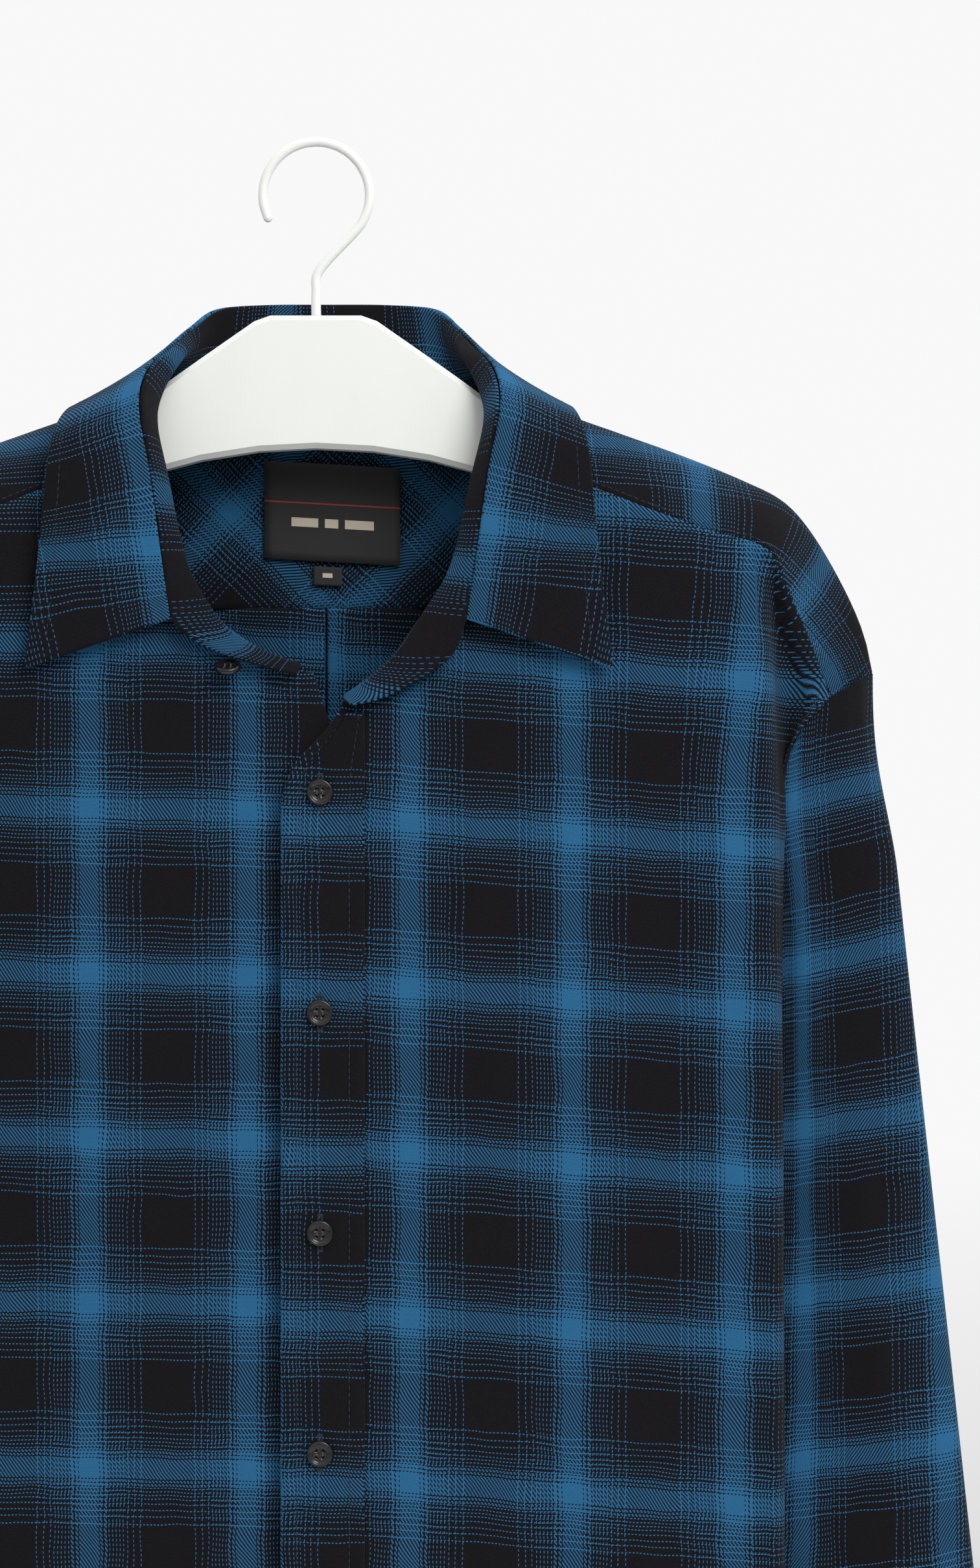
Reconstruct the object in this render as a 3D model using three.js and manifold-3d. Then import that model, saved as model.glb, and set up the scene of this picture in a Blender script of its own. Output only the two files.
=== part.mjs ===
// A long-sleeved flannel shirt on a white hanger, cut and hung as the real garment.
// Millimetres. X runs to the viewer's right, Y away from the viewer, Z up.
// The origin is the inside top of the hanger's hook, where a rail would carry it.
import * as THREE from 'three';
import { mergeVertices } from 'three/addons/utils/BufferGeometryUtils.js';
import Module from 'manifold-3d';

const wasm = await Module();
wasm.setup();

// Driving dimensions of the shirt.
const wall = 1.5;             // thickness of the brushed cloth
const seamGap = 0.3;          // clearance between sewn pieces
const sideGap = 0.8;          // half the clearance where the walls turn at the side seam
const gussetFade = 70;        // length below a seam over which the side fold takes its full shape
const seatGap = 1.2;          // how far the sleeve's head stands off the armhole
const turnStart = 165;        // place on the ridge from which the yoke seams draw in
const middle = 3;             // X of the shirt's centre line, a little off the hook's
const bodyDepth = 34;         // how far the front and the back each stand off the hanger
const ridgeRound = 60;        // drop below the shoulder ridge where the cloth is at full depth
const foldRadius = 8;         // radius of the hanging side fold
const chestQuarter = 280;     // quarter of the chest, flat
const hemCentre = -872;       // height of the shirt-tail at centre front and back
const hemRise = 66;           // how much higher the hem is at the side seams
const yokeBackSeam = -202;    // height of the seam between yoke and back
const pleatWidth = 19;        // half width of the box pleat at the yoke
const pleatStep = 2.1;        // spacing of the pleat's layers
const cuffTop = -776;
const cuffHeight = 64;
const overlapStep = 2.5;      // how far the buttoned front stands before the other

// Driving dimensions of the placket, the buttons and the labels.
const placketEdge = -12.9;
const placketWidth = 35;
const buttonRadius = 5.7;
const buttonThickness = 2.6;
const buttonX = 3.5;
const firstButton = -284.5;
const buttonSpacing = 94.8;
const buttonCount = 6;

// Driving dimensions of the hanger.
const boardThickness = 13;
const boardBevel = 2.25;
const wireRadius = 2.1;
const hookRadius = 23.5;

const colours = { cloth: 0x2b5470, board: 0xf0f1ee, wire: 0xf2f3f0, button: 0x17181a, label: 0x101011 };

// Shoulder ridge of the cloth, seen from the front.
const ridge = [
  { x: 0, z: -70 }, { x: 30, z: -76 }, { x: 50, z: -88 }, { x: 64, z: -96.5 }, { x: 76, z: -102.5 },
  { x: 90, z: -109.5 }, { x: 107, z: -118.5 }, { x: 129, z: -126.6 }, { x: 158, z: -137 },
  { x: 186, z: -148.5 }, { x: 203, z: -157.5 }, { x: 215, z: -171 }, { x: 229, z: -195 },
  { x: 238, z: -216 }, { x: 241.5, z: -232 },
];

// Depth that the cloth reaches before the hanger, less towards the sleeve head.
const depthAcross = [
  { x: 0, y: bodyDepth }, { x: 188, y: bodyDepth }, { x: 200, y: 29 }, { x: 212, y: 19 },
  { x: 222, y: 14 }, { x: 241.5, y: 5 },
];

// Neck part of the top edge of each front panel, from the front edge to the yoke.
const frontNeck = {
  left: [{ x: 11, z: -244 }, { x: 30, z: -242 }, { x: 50, z: -230 }, { x: 66, z: -206 }, { x: 78, z: -176 }],
  right: [{ x: 3, z: -233 }, { x: 12, z: -231 }, { x: 30, z: -227 }, { x: 50, z: -217 }, { x: 66, z: -200 }, { x: 78, z: -174 }],
};

// Front yoke seam from the neck to the armhole.
const frontSeam = [
  { x: 86, z: -147 }, { x: 118, z: -152.5 }, { x: 143, z: -162 }, { x: 172, z: -172 }, { x: 195, z: -180 },
  { x: 201.6, z: -194 }, { x: 208, z: -208 }, { x: 214, z: -221 }, { x: 222, z: -243 },
];

// Top edge of the back panel, which is the back yoke seam.
const backTop = [
  { x: 0, z: yokeBackSeam }, { x: 185, z: yokeBackSeam }, { x: 195, z: -205 }, { x: 208, z: -219 },
  { x: 222, z: -243 },
];

// Neckline on the yoke, as the part of the ridge drop that it lies behind (or before) the ridge.
const neckline = [{ x: 0, z: -107 }, { x: 40, z: -106 }, { x: 62, z: -104.5 }, { x: 75, z: -102.4 }];

// Front edge of each front panel, measured from the shirt's centre.
const frontEdges = {
  left: [
    { z: -244, x: 11 }, { z: -252, x: 8 }, { z: -262, x: 0 }, { z: -272, x: -10 }, { z: -284, x: -14.5 },
    { z: -296, x: -15.9 }, { z: -900, x: -15.9 },
  ],
  right: [{ z: -233, x: 3 }, { z: -239, x: 1 }, { z: -256, x: -4.4 }, { z: -300, x: -14 }, { z: -900, x: -14 }],
};

// Edge of the body at the armhole and below it at the side seam.
const sideEdge = [
  { z: -180, x: 230, y: 8 }, { z: -243, x: 222, y: 14 }, { z: -256, x: 210, y: 14.5 },
  { z: -270, x: 203, y: 13.5 }, { z: -300, x: 192, y: 12 }, { z: -350, x: 168, y: 8 },
  { z: -420, x: 139, y: 0 }, { z: -500, x: 136, y: 0 }, { z: -900, x: 134, y: 0 },
];

// Hanging side fold, and the two handles of the curve that runs from it into the gusset.
const sideFold = [
  { z: -180, x: 195, ax: 198, ay: 20, bx: 210, by: 14 },
  { z: -243, x: 197, ax: 201, ay: 12, bx: 211, by: 9 },
  { z: -270, x: 198, ax: 203, ay: 17, bx: 205, by: 12 },
  { z: -300, x: 199, ax: 205, ay: 19, bx: 202, by: 13.5 },
  { z: -350, x: 199, ax: 206, ay: 14, bx: 185, by: 12 },
  { z: -420, x: 200, ax: 206, ay: 9, bx: 139, by: 15 },
  { z: -900, x: 202, ax: 208, ay: 8, bx: 134, by: 15 },
];

// Sleeve seen from the front: inner and outer edge, and half its depth.
const sleeveTrack = [
  { z: -232, inner: 139, outer: 241.5, depth: 12 }, { z: -268, inner: 139, outer: 246.4, depth: 13 },
  { z: -292, inner: 139, outer: 249.5, depth: 13 }, { z: -430, inner: 141, outer: 264.6, depth: 13 },
  { z: -536, inner: 146, outer: 276.3, depth: 14 }, { z: -680, inner: 166, outer: 292, depth: 14 },
  { z: -750, inner: 186, outer: 300, depth: 12 }, { z: -776, inner: 192, outer: 302, depth: 9 },
];

// Collar from the back centre round to the front, measured from the shirt's centre.
// neck is the seam with the body, roll the fold line, seam the join of stand and leaf, edge the free edge.
const collar = [
  { neck: [0, 32, -105.2], roll: [0, 36.5, -82], seam: [0, 38.5, -65], edge: [0, 48, -111] },
  { neck: [30, 30.4, -104.6], roll: [29, 35, -82], seam: [28, 37, -65.4], edge: [36, 48, -111] },
  { neck: [54, 22.2, -102.4], roll: [50, 27, -84.5], seam: [47, 30, -68.2], edge: [70, 42, -112] },
  { neck: [67, 11.5, -99.4], roll: [58, 14, -88.5], seam: [57.5, 17, -78], edge: [92, 27, -114] },
  { neck: [72.8, -0.5, -99.2], roll: [62, -2, -93.5], seam: [66, 0, -88.5], edge: [104, 10, -114] },
  { neck: [77.2, -20.8, -110], roll: [69.5, -15, -109], seam: [74.5, -21, -101], edge: [110, -20, -118.4] },
  { neck: [80.5, -32.4, -134], roll: [71.5, -24, -125], seam: [77, -34, -119], edge: [115, -37, -133] },
  { neck: [79, -36.6, -158], roll: [66, -31, -151], seam: [72, -39.5, -148], edge: [118, -40.5, -160] },
  { neck: [72, -36.8, -184], roll: [57.5, -35, -186], seam: [66.5, -41.5, -187], edge: [121, -40.8, -190] },
  { neck: [60, -36.8, -207], roll: [45, -38, -208], seam: [63, -42.5, -210], edge: [126, -41, -231] },
];

// Front ends of the collar stand, which lie turned out over the panels.
const standEnds = {
  left: [
    { neck: [44, -37.2, -223], roll: [31, -39.8, -228], seam: [55, -43, -228] },
    { neck: [28, -38.6, -236], roll: [18, -41, -239], seam: [30, -43.8, -243] },
    { neck: [17, -39.2, -241], roll: [11, -41.2, -243.5], seam: [14, -44, -247] },
  ],
  right: [
    { neck: [46, -36.8, -216], roll: [36, -38.2, -217], seam: [48, -41.5, -222] },
    { neck: [28, -36.8, -225.5], roll: [22, -38.6, -225], seam: [27, -41.8, -229.5] },
    { neck: [11, -36.8, -231], roll: [8, -38.8, -230], seam: [10, -42, -234] },
  ],
};

function ease(value) {
  const part = Math.min(1, Math.max(0, value));
  return part * part * (3 - 2 * part);
}

function mix(from, to, part) {
  return from + (to - from) * part;
}

// Reads a named column of a table at any place along its key, with a smooth curve through the rows.
function read(table, key, place, column) {
  const rising = table[table.length - 1][key] > table[0][key];
  const past = (row) => (rising ? row[key] > place : row[key] < place);
  const next = table.findIndex(past);
  if (next === -1) return table[table.length - 1][column];
  if (next === 0) return table[0][column];
  const slope = (index) => {
    const before = table[Math.max(0, index - 1)];
    const after = table[Math.min(table.length - 1, index + 1)];
    return (after[column] - before[column]) / (after[key] - before[key]);
  };
  const low = table[next - 1];
  const high = table[next];
  const span = high[key] - low[key];
  const steep = (high[column] - low[column]) / span;
  const limit = (rate) => (rate * steep <= 0 ? 0 : Math.sign(steep) * Math.min(Math.abs(rate), 3 * Math.abs(steep)));
  const start = limit(slope(next - 1));
  const end = limit(slope(next));
  const part = (place - low[key]) / span;
  const turn = part * (1 - part);
  return mix(low[column], high[column], part * part * (3 - 2 * part))
    + span * turn * (start * (1 - part) - end * part);
}

// Depth of the cloth at a place on the hanging shirt above the side folds.
function clothDepth(x, z) {
  const drop = Math.max(0, read(ridge, 'x', x, 'z') - z);
  const rounding = 1 - Math.min(1, drop / ridgeRound);
  return read(depthAcross, 'x', x, 'y') * Math.sqrt(1 - rounding * rounding);
}

function hemHeight(across) {
  return hemCentre + hemRise * ease((across - 110) / (chestQuarter - 110));
}

// One point of a quarter of the body. across runs 0 at the fold of the flat part to 1 at the side edge.
function gussetPoint(part, z) {
  const foldX = read(sideFold, 'z', z, 'x');
  const corner = new THREE.Vector2(foldX - foldRadius, -bodyDepth);
  const start = new THREE.Vector2(foldX, -bodyDepth + foldRadius);
  if (part < 0.2) {
    const angle = (part / 0.2) * Math.PI / 2;
    corner.x += foldRadius * Math.sin(angle);
    corner.y += foldRadius * (1 - Math.cos(angle));
    return corner;
  }
  const curve = new THREE.CubicBezierCurve(
    start,
    new THREE.Vector2(read(sideFold, 'z', z, 'ax'), -read(sideFold, 'z', z, 'ay')),
    new THREE.Vector2(read(sideFold, 'z', z, 'bx'), -read(sideFold, 'z', z, 'by')),
    new THREE.Vector2(read(sideEdge, 'z', z, 'x'), -read(sideEdge, 'z', z, 'y')),
  );
  return curve.getPoint((part - 0.2) / 0.8);
}

// Heights of a column of points, closer together near the top.
function rowHeights(top, bottom, rows) {
  return Array.from({ length: rows + 1 }, (_, row) => mix(top, bottom, Math.pow(row / rows, 1.35)));
}

// The gusset columns of a front or back panel, from the flat part to the armhole and side seam.
function gussetColumns(topTable, rows, columns) {
  const edgeX = topTable[topTable.length - 1].x;
  const foldTop = read(sideFold, 'z', sideFold[0].z, 'x') - foldRadius;
  return Array.from({ length: columns }, (_, index) => {
    const part = (index + 1) / columns;
    const topX = mix(foldTop, edgeX - seamGap, part);
    const topZ = read(topTable, 'x', topX, 'z') - seamGap;
    const topPoint = new THREE.Vector3(topX, -clothDepth(topX, topZ), topZ);
    const first = gussetPoint(part, topZ);
    const across = mix(foldTop, chestQuarter, part);
    return rowHeights(topZ, hemHeight(across), rows).map((z, row) => {
      const fade = 1 - ease((topZ - z) / gussetFade);
      const at = gussetPoint(part, z);
      const reach = new THREE.Vector3(at.x + (topPoint.x - first.x) * fade, at.y + (topPoint.y - first.y) * fade, z);
      if (part === 1) reach.y -= sideGap;
      return reach;
    });
  });
}

// The flat columns of a panel from an edge at the middle out to the side fold.
function flatColumns(topTable, edge, rows, columns) {
  const foldTop = read(sideFold, 'z', sideFold[0].z, 'x') - foldRadius;
  return Array.from({ length: columns + 1 }, (_, index) => {
    const part = index / columns;
    const topX = mix(edge(read(topTable, 'x', 0, 'z')), foldTop, part);
    const topZ = read(topTable, 'x', topX, 'z') - seamGap;
    return rowHeights(topZ, hemHeight(topX), rows).map((z) => {
      const foldX = read(sideFold, 'z', z, 'x') - foldRadius;
      const x = mix(edge(z), foldX, part);
      return new THREE.Vector3(x, -clothDepth(Math.max(0, x), z), z);
    });
  });
}

// Places a point of the pattern quarter in the shirt: side is 1 or -1, face is 1 for front, -1 for back.
function place(point, side, face) {
  return new THREE.Vector3(middle + side * point.x, face * point.y, point.z);
}

function geometryFrom(positions, triangles) {
  const geometry = new THREE.BufferGeometry();
  geometry.setAttribute('position', new THREE.Float32BufferAttribute(positions.flatMap((p) => [p.x, p.y, p.z]), 3));
  geometry.setIndex(triangles);
  return geometry;
}

function signedVolume(positions, triangles) {
  let volume = 0;
  for (let i = 0; i < triangles.length; i += 3) {
    const [a, b, c] = [0, 1, 2].map((corner) => positions[triangles[i + corner]]);
    volume += a.dot(b.clone().cross(c)) / 6;
  }
  return volume;
}

// Turns a grid of points into a closed wall with the thickness laid half to each side.
// A closed grid joins its last column to its first, as a sleeve does. A lift moves the whole wall along its normals.
function clothWall(grid, closed = false, thickness = wall, lift = 0) {
  const rows = grid.length;
  const columns = grid[0].length;
  const wrap = (column) => (closed ? (column + columns) % columns : Math.min(columns - 1, Math.max(0, column)));
  const at = (row, column) => grid[Math.min(rows - 1, Math.max(0, row))][wrap(column)];
  const positions = [];
  for (const side of [0.5, -0.5]) {
    for (let row = 0; row < rows; row += 1) {
      for (let column = 0; column < columns; column += 1) {
        const along = at(row, column + 1).clone().sub(at(row, column - 1));
        const down = at(row + 1, column).clone().sub(at(row - 1, column));
        const normal = along.cross(down).normalize();
        positions.push(grid[row][column].clone().addScaledVector(normal, side * thickness + lift));
      }
    }
  }
  const triangles = [];
  const quad = (a, b, c, d) => triangles.push(a, b, c, a, c, d);
  const index = (layer, row, column) => layer * rows * columns + row * columns + wrap(column);
  const lastColumn = closed ? columns : columns - 1;
  for (let row = 0; row < rows - 1; row += 1) {
    for (let column = 0; column < lastColumn; column += 1) {
      quad(index(0, row, column), index(0, row, column + 1), index(0, row + 1, column + 1), index(0, row + 1, column));
      quad(index(1, row, column), index(1, row + 1, column), index(1, row + 1, column + 1), index(1, row, column + 1));
    }
  }
  for (let column = 0; column < lastColumn; column += 1) {
    quad(index(0, 0, column), index(1, 0, column), index(1, 0, column + 1), index(0, 0, column + 1));
    const low = rows - 1;
    quad(index(0, low, column), index(0, low, column + 1), index(1, low, column + 1), index(1, low, column));
  }
  if (!closed) {
    const last = columns - 1;
    for (let row = 0; row < rows - 1; row += 1) {
      quad(index(0, row, 0), index(0, row + 1, 0), index(1, row + 1, 0), index(1, row, 0));
      quad(index(0, row, last), index(1, row, last), index(1, row + 1, last), index(0, row + 1, last));
    }
  }
  if (signedVolume(positions, triangles) < 0) {
    for (let i = 0; i < triangles.length; i += 3) {
      [triangles[i + 1], triangles[i + 2]] = [triangles[i + 2], triangles[i + 1]];
    }
  }
  return geometryFrom(positions, triangles);
}

// Shortens the first or last row of a grid towards its neighbour, to leave room at a seam.
function pullBack(grid, row, distance) {
  const next = row === 0 ? 1 : row - 1;
  grid[row].forEach((point, column) => {
    const inward = grid[next][column].clone().sub(point).normalize();
    point.addScaledVector(inward, distance);
  });
  return grid;
}

// Swaps a list of columns into a list of rows.
function rowsOf(columns) {
  return columns[0].map((_, row) => columns.map((column) => column[row]));
}

function frontPanel(side) {
  const half = side > 0 ? 'left' : 'right';
  const edges = frontEdges[half];
  const top = [...frontNeck[half], ...frontSeam];
  const edge = (z) => read(edges, 'z', z, 'x');
  const rows = 14;
  const columns = [...flatColumns(top, edge, rows, 10), ...gussetColumns(top, rows, 7)];
  const grid = rowsOf(columns).map((row) => row.map((point) => {
    const step = side > 0 ? overlapStep * (1 - ease((point.x - 18) / 40)) : 0;
    return place(new THREE.Vector3(point.x, point.y - step, point.z), side, 1);
  }));
  return clothWall(pullBack(grid, 0, 0.8));
}

// Folds of the pleat from the centre out, as places across in half widths and layers deep.
const pleatFolds = [
  { part: 0, set: 0, layer: 0 }, { part: 1, set: -1.2, layer: 0 }, { part: 1, set: 0, layer: 0.5 },
  { part: 1, set: -1.2, layer: 1 }, { part: 0, set: 2.2, layer: 1 }, { part: 0, set: 1, layer: 1.5 },
  { part: 0, set: 2.2, layer: 2 },
];

// The back in one piece, with a box pleat whose two folds meet at the centre line inside.
function backPanel() {
  const rows = 12;
  const start = pleatWidth + 6;
  const half = [...flatColumns(backTop, () => start, rows, 6), ...gussetColumns(backTop, rows, 7)];
  const grid = rowsOf(half).map((row) => {
    const z = row[0].z;
    const open = pleatWidth * (1 - 0.35 * ease((yokeBackSeam - z) / 600));
    const pleat = pleatFolds.map((fold) => {
      const x = fold.part * open + fold.set;
      return new THREE.Vector3(x, fold.layer * pleatStep - clothDepth(x, z), z);
    });
    const flat = row.map((point) => {
      const sunk = 2 * pleatStep * (1 - ease((point.x - start) / 26));
      return new THREE.Vector3(point.x, point.y + sunk, point.z);
    });
    const right = [...pleat.slice(1), ...flat].map((point) => place(point, 1, -1));
    const left = [...pleat.slice(1), ...flat].map((point) => place(point, -1, -1)).reverse();
    return [...left, place(pleat[0], 1, -1), ...right];
  });
  return clothWall(pullBack(grid, 0, 0.8));
}

// A point of the yoke: along is its place on the shoulder, down runs -1 at the front seam to 1 at the back seam.
function yokePoint(ridgeX, down) {
  const seams = down < 0 ? frontSeam : backTop;
  const tip = ridge[ridge.length - 1].x;
  const seamX = ridgeX - (tip - seams[seams.length - 1].x) * ease((ridgeX - turnStart) / (tip - turnStart));
  const part = Math.pow(Math.abs(down), 1.7);
  const x = mix(ridgeX, seamX, part);
  const z = mix(read(ridge, 'x', ridgeX, 'z'), read(seams, 'x', seamX, 'z'), part);
  return new THREE.Vector3(x, Math.sign(down) * clothDepth(x, z), z);
}

// Where a column of the yoke starts: at the neckline behind the ridge, or at the front seam.
function yokeStart(ridgeX) {
  const edge = neckline[neckline.length - 1].x;
  if (ridgeX >= frontSeam[0].x) return -1;
  if (ridgeX > edge) return -ease((ridgeX - edge) / (frontSeam[0].x - edge));
  const top = read(ridge, 'x', ridgeX, 'z');
  return Math.pow((top - read(neckline, 'x', ridgeX, 'z')) / (top - yokeBackSeam), 1 / 1.7);
}

const yokePlaces = [0, 22, 42, 57, 68, 75, 80, 86.5, 100, 120, 143, 165, 182, 196, 208, 220, 232, 241.5];

function yokeGrid(places, rows) {
  const column = (ridgeX, side) => Array.from({ length: rows + 1 }, (_, row) => {
    const point = yokePoint(ridgeX, mix(yokeStart(ridgeX), 1, row / rows));
    return new THREE.Vector3(middle + side * point.x, point.y, point.z);
  });
  const right = places.map((ridgeX) => column(ridgeX, 1));
  const left = places.slice(1).map((ridgeX) => column(ridgeX, -1)).reverse();
  return rowsOf([...left, ...right]);
}

function yokeOuter() {
  return clothWall(pullBack(yokeGrid(yokePlaces, 11), 11, 0.3));
}

// The inner yoke is made from the outer one's points behind the neck, moved in.
function yokeInner() {
  const grid = yokeGrid(yokePlaces.filter((ridgeX) => ridgeX < 70), 11);
  return clothWall(pullBack(grid, 11, 0.6), false, wall, -wall - seamGap);
}

function vector(triple, side) {
  return new THREE.Vector3(middle + side * triple[0], triple[1], triple[2]);
}

// The stand, from the front end on one side round the back of the neck to the other.
function collarStand() {
  const section = (row, side) => {
    const [neck, roll, seam] = [row.neck, row.roll, row.seam].map((triple) => vector(triple, side));
    return new THREE.QuadraticBezierCurve3(neck, roll.clone().multiplyScalar(2).sub(neck.clone().add(seam).multiplyScalar(0.5)), seam);
  };
  const points = (row, side) => section(row, side).getPoints(5);
  const right = [...collar, ...standEnds.left].map((row) => points(row, 1));
  const left = [...collar.slice(1), ...standEnds.right].map((row) => points(row, -1)).reverse();
  return clothWall([...left, ...right]);
}

// How far the leaf's roll stands above the line from join to edge, for each row of the collar.
const leafRise = [
  { row: 0, z: 3.2 }, { row: 1, z: 3.2 }, { row: 2, z: 0.5 }, { row: 3, z: -3.5 }, { row: 4, z: -5 },
  { row: 5, z: -2.5 }, { row: 6, z: 0 }, { row: 9, z: 0 },
];

// The leaf, which falls outside the stand from the join to the pointed free edge.
function collarLeaf() {
  const points = (row, side, index) => {
    const seam = vector(row.seam, side);
    const edge = vector(row.edge, side);
    const out = edge.clone().sub(seam).setZ(0).normalize();
    const behind = 1 - ease((index - 4) / 3);
    seam.addScaledVector(out, mix(1, 2.2, behind));
    seam.y -= 0.8 * (1 - behind);
    const bulge = seam.clone().lerp(edge, 0.35).addScaledVector(out, 4 * behind);
    bulge.z += read(leafRise, 'row', index, 'z');
    bulge.y -= 2 * (1 - behind);
    return new THREE.QuadraticBezierCurve3(seam, bulge, edge).getPoints(5);
  };
  const right = collar.map((row, index) => points(row, 1, index));
  const left = collar.slice(1).map((row, index) => points(row, -1, index + 1)).reverse();
  return clothWall([...left, ...right]);
}

// The armhole loop from the shoulder tip down the front to the underarm, for half a turn.
const armhole = [
  { x: 241.5, y: 0, z: -232 }, { x: 236, y: 8, z: -235 }, { x: 229, y: 12.5, z: -239 }, { x: 222, y: 14, z: -243 },
  ...sideEdge.slice(2, 4), ...sideEdge.slice(4, 7).map((seat) => ({ ...seat, y: 0.75 * seat.y })),
];

function sleeveRing(part) {
  const half = armhole.map((seat) => {
    const z = mix(seat.z, cuffTop, part);
    const inner = read(sleeveTrack, 'z', z, 'inner');
    const outer = read(sleeveTrack, 'z', z, 'outer');
    const lens = (seat.x - sleeveTrack[0].inner) / (sleeveTrack[0].outer - sleeveTrack[0].inner);
    const angle = Math.acos(2 * lens - 1);
    const slim = mix(0.15, 1, ease((-z - 640) / 120));
    const depth = read(sleeveTrack, 'z', z, 'depth') * Math.sin(angle) * mix(slim, 1, lens);
    const settle = ease(part / mix(0.07, 0.16, lens));
    const y = mix(seat.y, depth, settle);
    const x = mix(seat.x + seatGap * lens, mix(inner, outer, lens), settle);
    return new THREE.Vector3(x, y, z);
  });
  const front = half.map((point) => new THREE.Vector3(point.x, -point.y, point.z));
  const back = half.slice(1, -1).reverse();
  return [...front, ...back];
}

function sleeve(side) {
  const steps = [0.0022, 0.04, 0.09, 0.15, 0.22, 0.3, 0.39, 0.48, 0.57, 0.66, 0.75, 0.83, 0.9, 0.955, 1];
  const rings = steps.map((part) => sleeveRing(part).map((point) => place(point, side, 1)));
  return clothWall(rings, true);
}

function cuff(side) {
  const rings = [0, 0.5, 1].map((part) => sleeveRing(1).map((point) => {
    const z = cuffTop - seamGap - part * cuffHeight;
    return place(new THREE.Vector3(point.x + part * 5, point.y, z), side, 1);
  }));
  return clothWall(rings, true, 2);
}

// A point on the back face of the sleeve, moved out by a distance.
function onSleeveBack(x, z, out) {
  const inner = read(sleeveTrack, 'z', z, 'inner');
  const outer = read(sleeveTrack, 'z', z, 'outer');
  const lens = (x - inner) / (outer - inner);
  const angle = Math.acos(2 * lens - 1);
  const slim = mix(0.15, 1, ease((-z - 640) / 120));
  const y = read(sleeveTrack, 'z', z, 'depth') * Math.sin(angle) * mix(slim, 1, lens);
  return new THREE.Vector3(x, y + out, z);
}

function sleevePlacket(side) {
  const width = 24;
  const length = 130;
  const rows = Array.from({ length: 7 }, (_, row) => [0, 0.33, 0.67, 1].map((part) => {
    const z = mix(cuffTop + length, cuffTop + 1, row / 6);
    const left = mix(222, 238, row / 6);
    return place(onSleeveBack(left + part * width, z, wall + seamGap + 0.6), side, 1);
  }));
  return clothWall(rows, false, 1.2);
}

// The turned band on the buttoned front, made from the panel's own points and moved out.
function frontBand() {
  const rows = 16;
  const top = -252;
  const inner = placketEdge + placketWidth;
  const grid = Array.from({ length: rows + 1 }, (_, row) => {
    const z = mix(top, hemCentre + 0.4, Math.pow(row / rows, 1.35));
    const outer = middle + read(frontEdges.left, 'z', z, 'x');
    return [0, 0.5, 1].map((part) => {
      const depth = clothDepth(0, z) + overlapStep + wall + seamGap;
      return new THREE.Vector3(mix(outer, inner, part), -depth, z);
    });
  });
  return clothWall(grid);
}

function toManifold(geometry) {
  const bare = geometry.clone();
  bare.deleteAttribute('normal');
  bare.deleteAttribute('uv');
  const merged = mergeVertices(bare, 1e-4);
  const mesh = new wasm.Mesh({
    numProp: 3,
    vertProperties: new Float32Array(merged.attributes.position.array),
    triVerts: new Uint32Array(merged.index.array),
  });
  return new wasm.Manifold(mesh);
}

function fromManifold(solid) {
  const mesh = solid.getMesh();
  const geometry = new THREE.BufferGeometry();
  geometry.setAttribute('position', new THREE.Float32BufferAttribute(mesh.vertProperties, 3));
  geometry.setIndex(Array.from(mesh.triVerts));
  return geometry;
}

// A four-hole button with a raised rim, its face towards the viewer.
function buttonShape() {
  const half = buttonThickness / 2;
  const profile = [
    [0, -half], [buttonRadius - 0.8, -half], [buttonRadius, half - 0.8], [buttonRadius - 0.9, half],
    [buttonRadius - 2, half - 0.8], [0, half - 0.8],
  ].map(([x, y]) => new THREE.Vector2(x, y));
  let solid = toManifold(new THREE.LatheGeometry(profile, 14));
  for (const [x, z] of [[1, 1], [1, -1], [-1, 1], [-1, -1]]) {
    const hole = new THREE.CylinderGeometry(0.7, 0.7, buttonThickness * 2, 4).translate(x * 1.25, 0, z * 1.25);
    solid = solid.subtract(toManifold(hole));
  }
  return fromManifold(solid).rotateX(Math.PI);
}

// The shoulder board of the hanger, a flat white board with chamfered edges.
function hangerBoard() {
  const top = [[20, -75], [27, -77.5], [50, -93.5], [62, -102], [73, -110], [90, -119.5], [110, -127.5], [170, -148.5], [193, -158.5]];
  const end = [[200, -165], [200, -174]];
  const low = [[76, -145.4], [50, -138.5], [25, -134.6]];
  const half = [...top, ...end, ...low];
  const shape = new THREE.Shape();
  shape.moveTo(0, -75);
  half.forEach(([x, z]) => shape.lineTo(x, z));
  shape.lineTo(0, -133.3);
  half.slice().reverse().forEach(([x, z]) => shape.lineTo(-x, z));
  shape.closePath();
  const geometry = new THREE.ExtrudeGeometry(shape, {
    depth: boardThickness - 2 * boardBevel, bevelEnabled: true, bevelThickness: boardBevel,
    bevelSize: boardBevel, bevelOffset: -boardBevel, bevelSegments: 1, steps: 1,
  });
  geometry.rotateX(Math.PI / 2);
  geometry.translate(0, boardThickness / 2 - boardBevel, 0);
  return geometry;
}

// The wire hook: a straight shank that bends into the round hook.
function hangerHook() {
  const centre = new THREE.Vector3(0, 0, -hookRadius + wireRadius);
  const points = [new THREE.Vector3(0, 0, -74.7), new THREE.Vector3(0, 0, -64), new THREE.Vector3(1.5, 0, -54.5)];
  const steps = 16;
  for (let step = 0; step <= steps; step += 1) {
    const angle = mix(-44, 205, step / steps) * Math.PI / 180;
    points.push(new THREE.Vector3(hookRadius * Math.cos(angle), 0, hookRadius * Math.sin(angle)).add(centre));
  }
  const path = new THREE.CatmullRomCurve3(points, false, 'centripetal');
  const section = new THREE.Shape().absarc(0, 0, wireRadius, 0, Math.PI * 2);
  return new THREE.ExtrudeGeometry(section, { steps: 40, extrudePath: path, curveSegments: 4, bevelEnabled: false });
}

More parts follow.
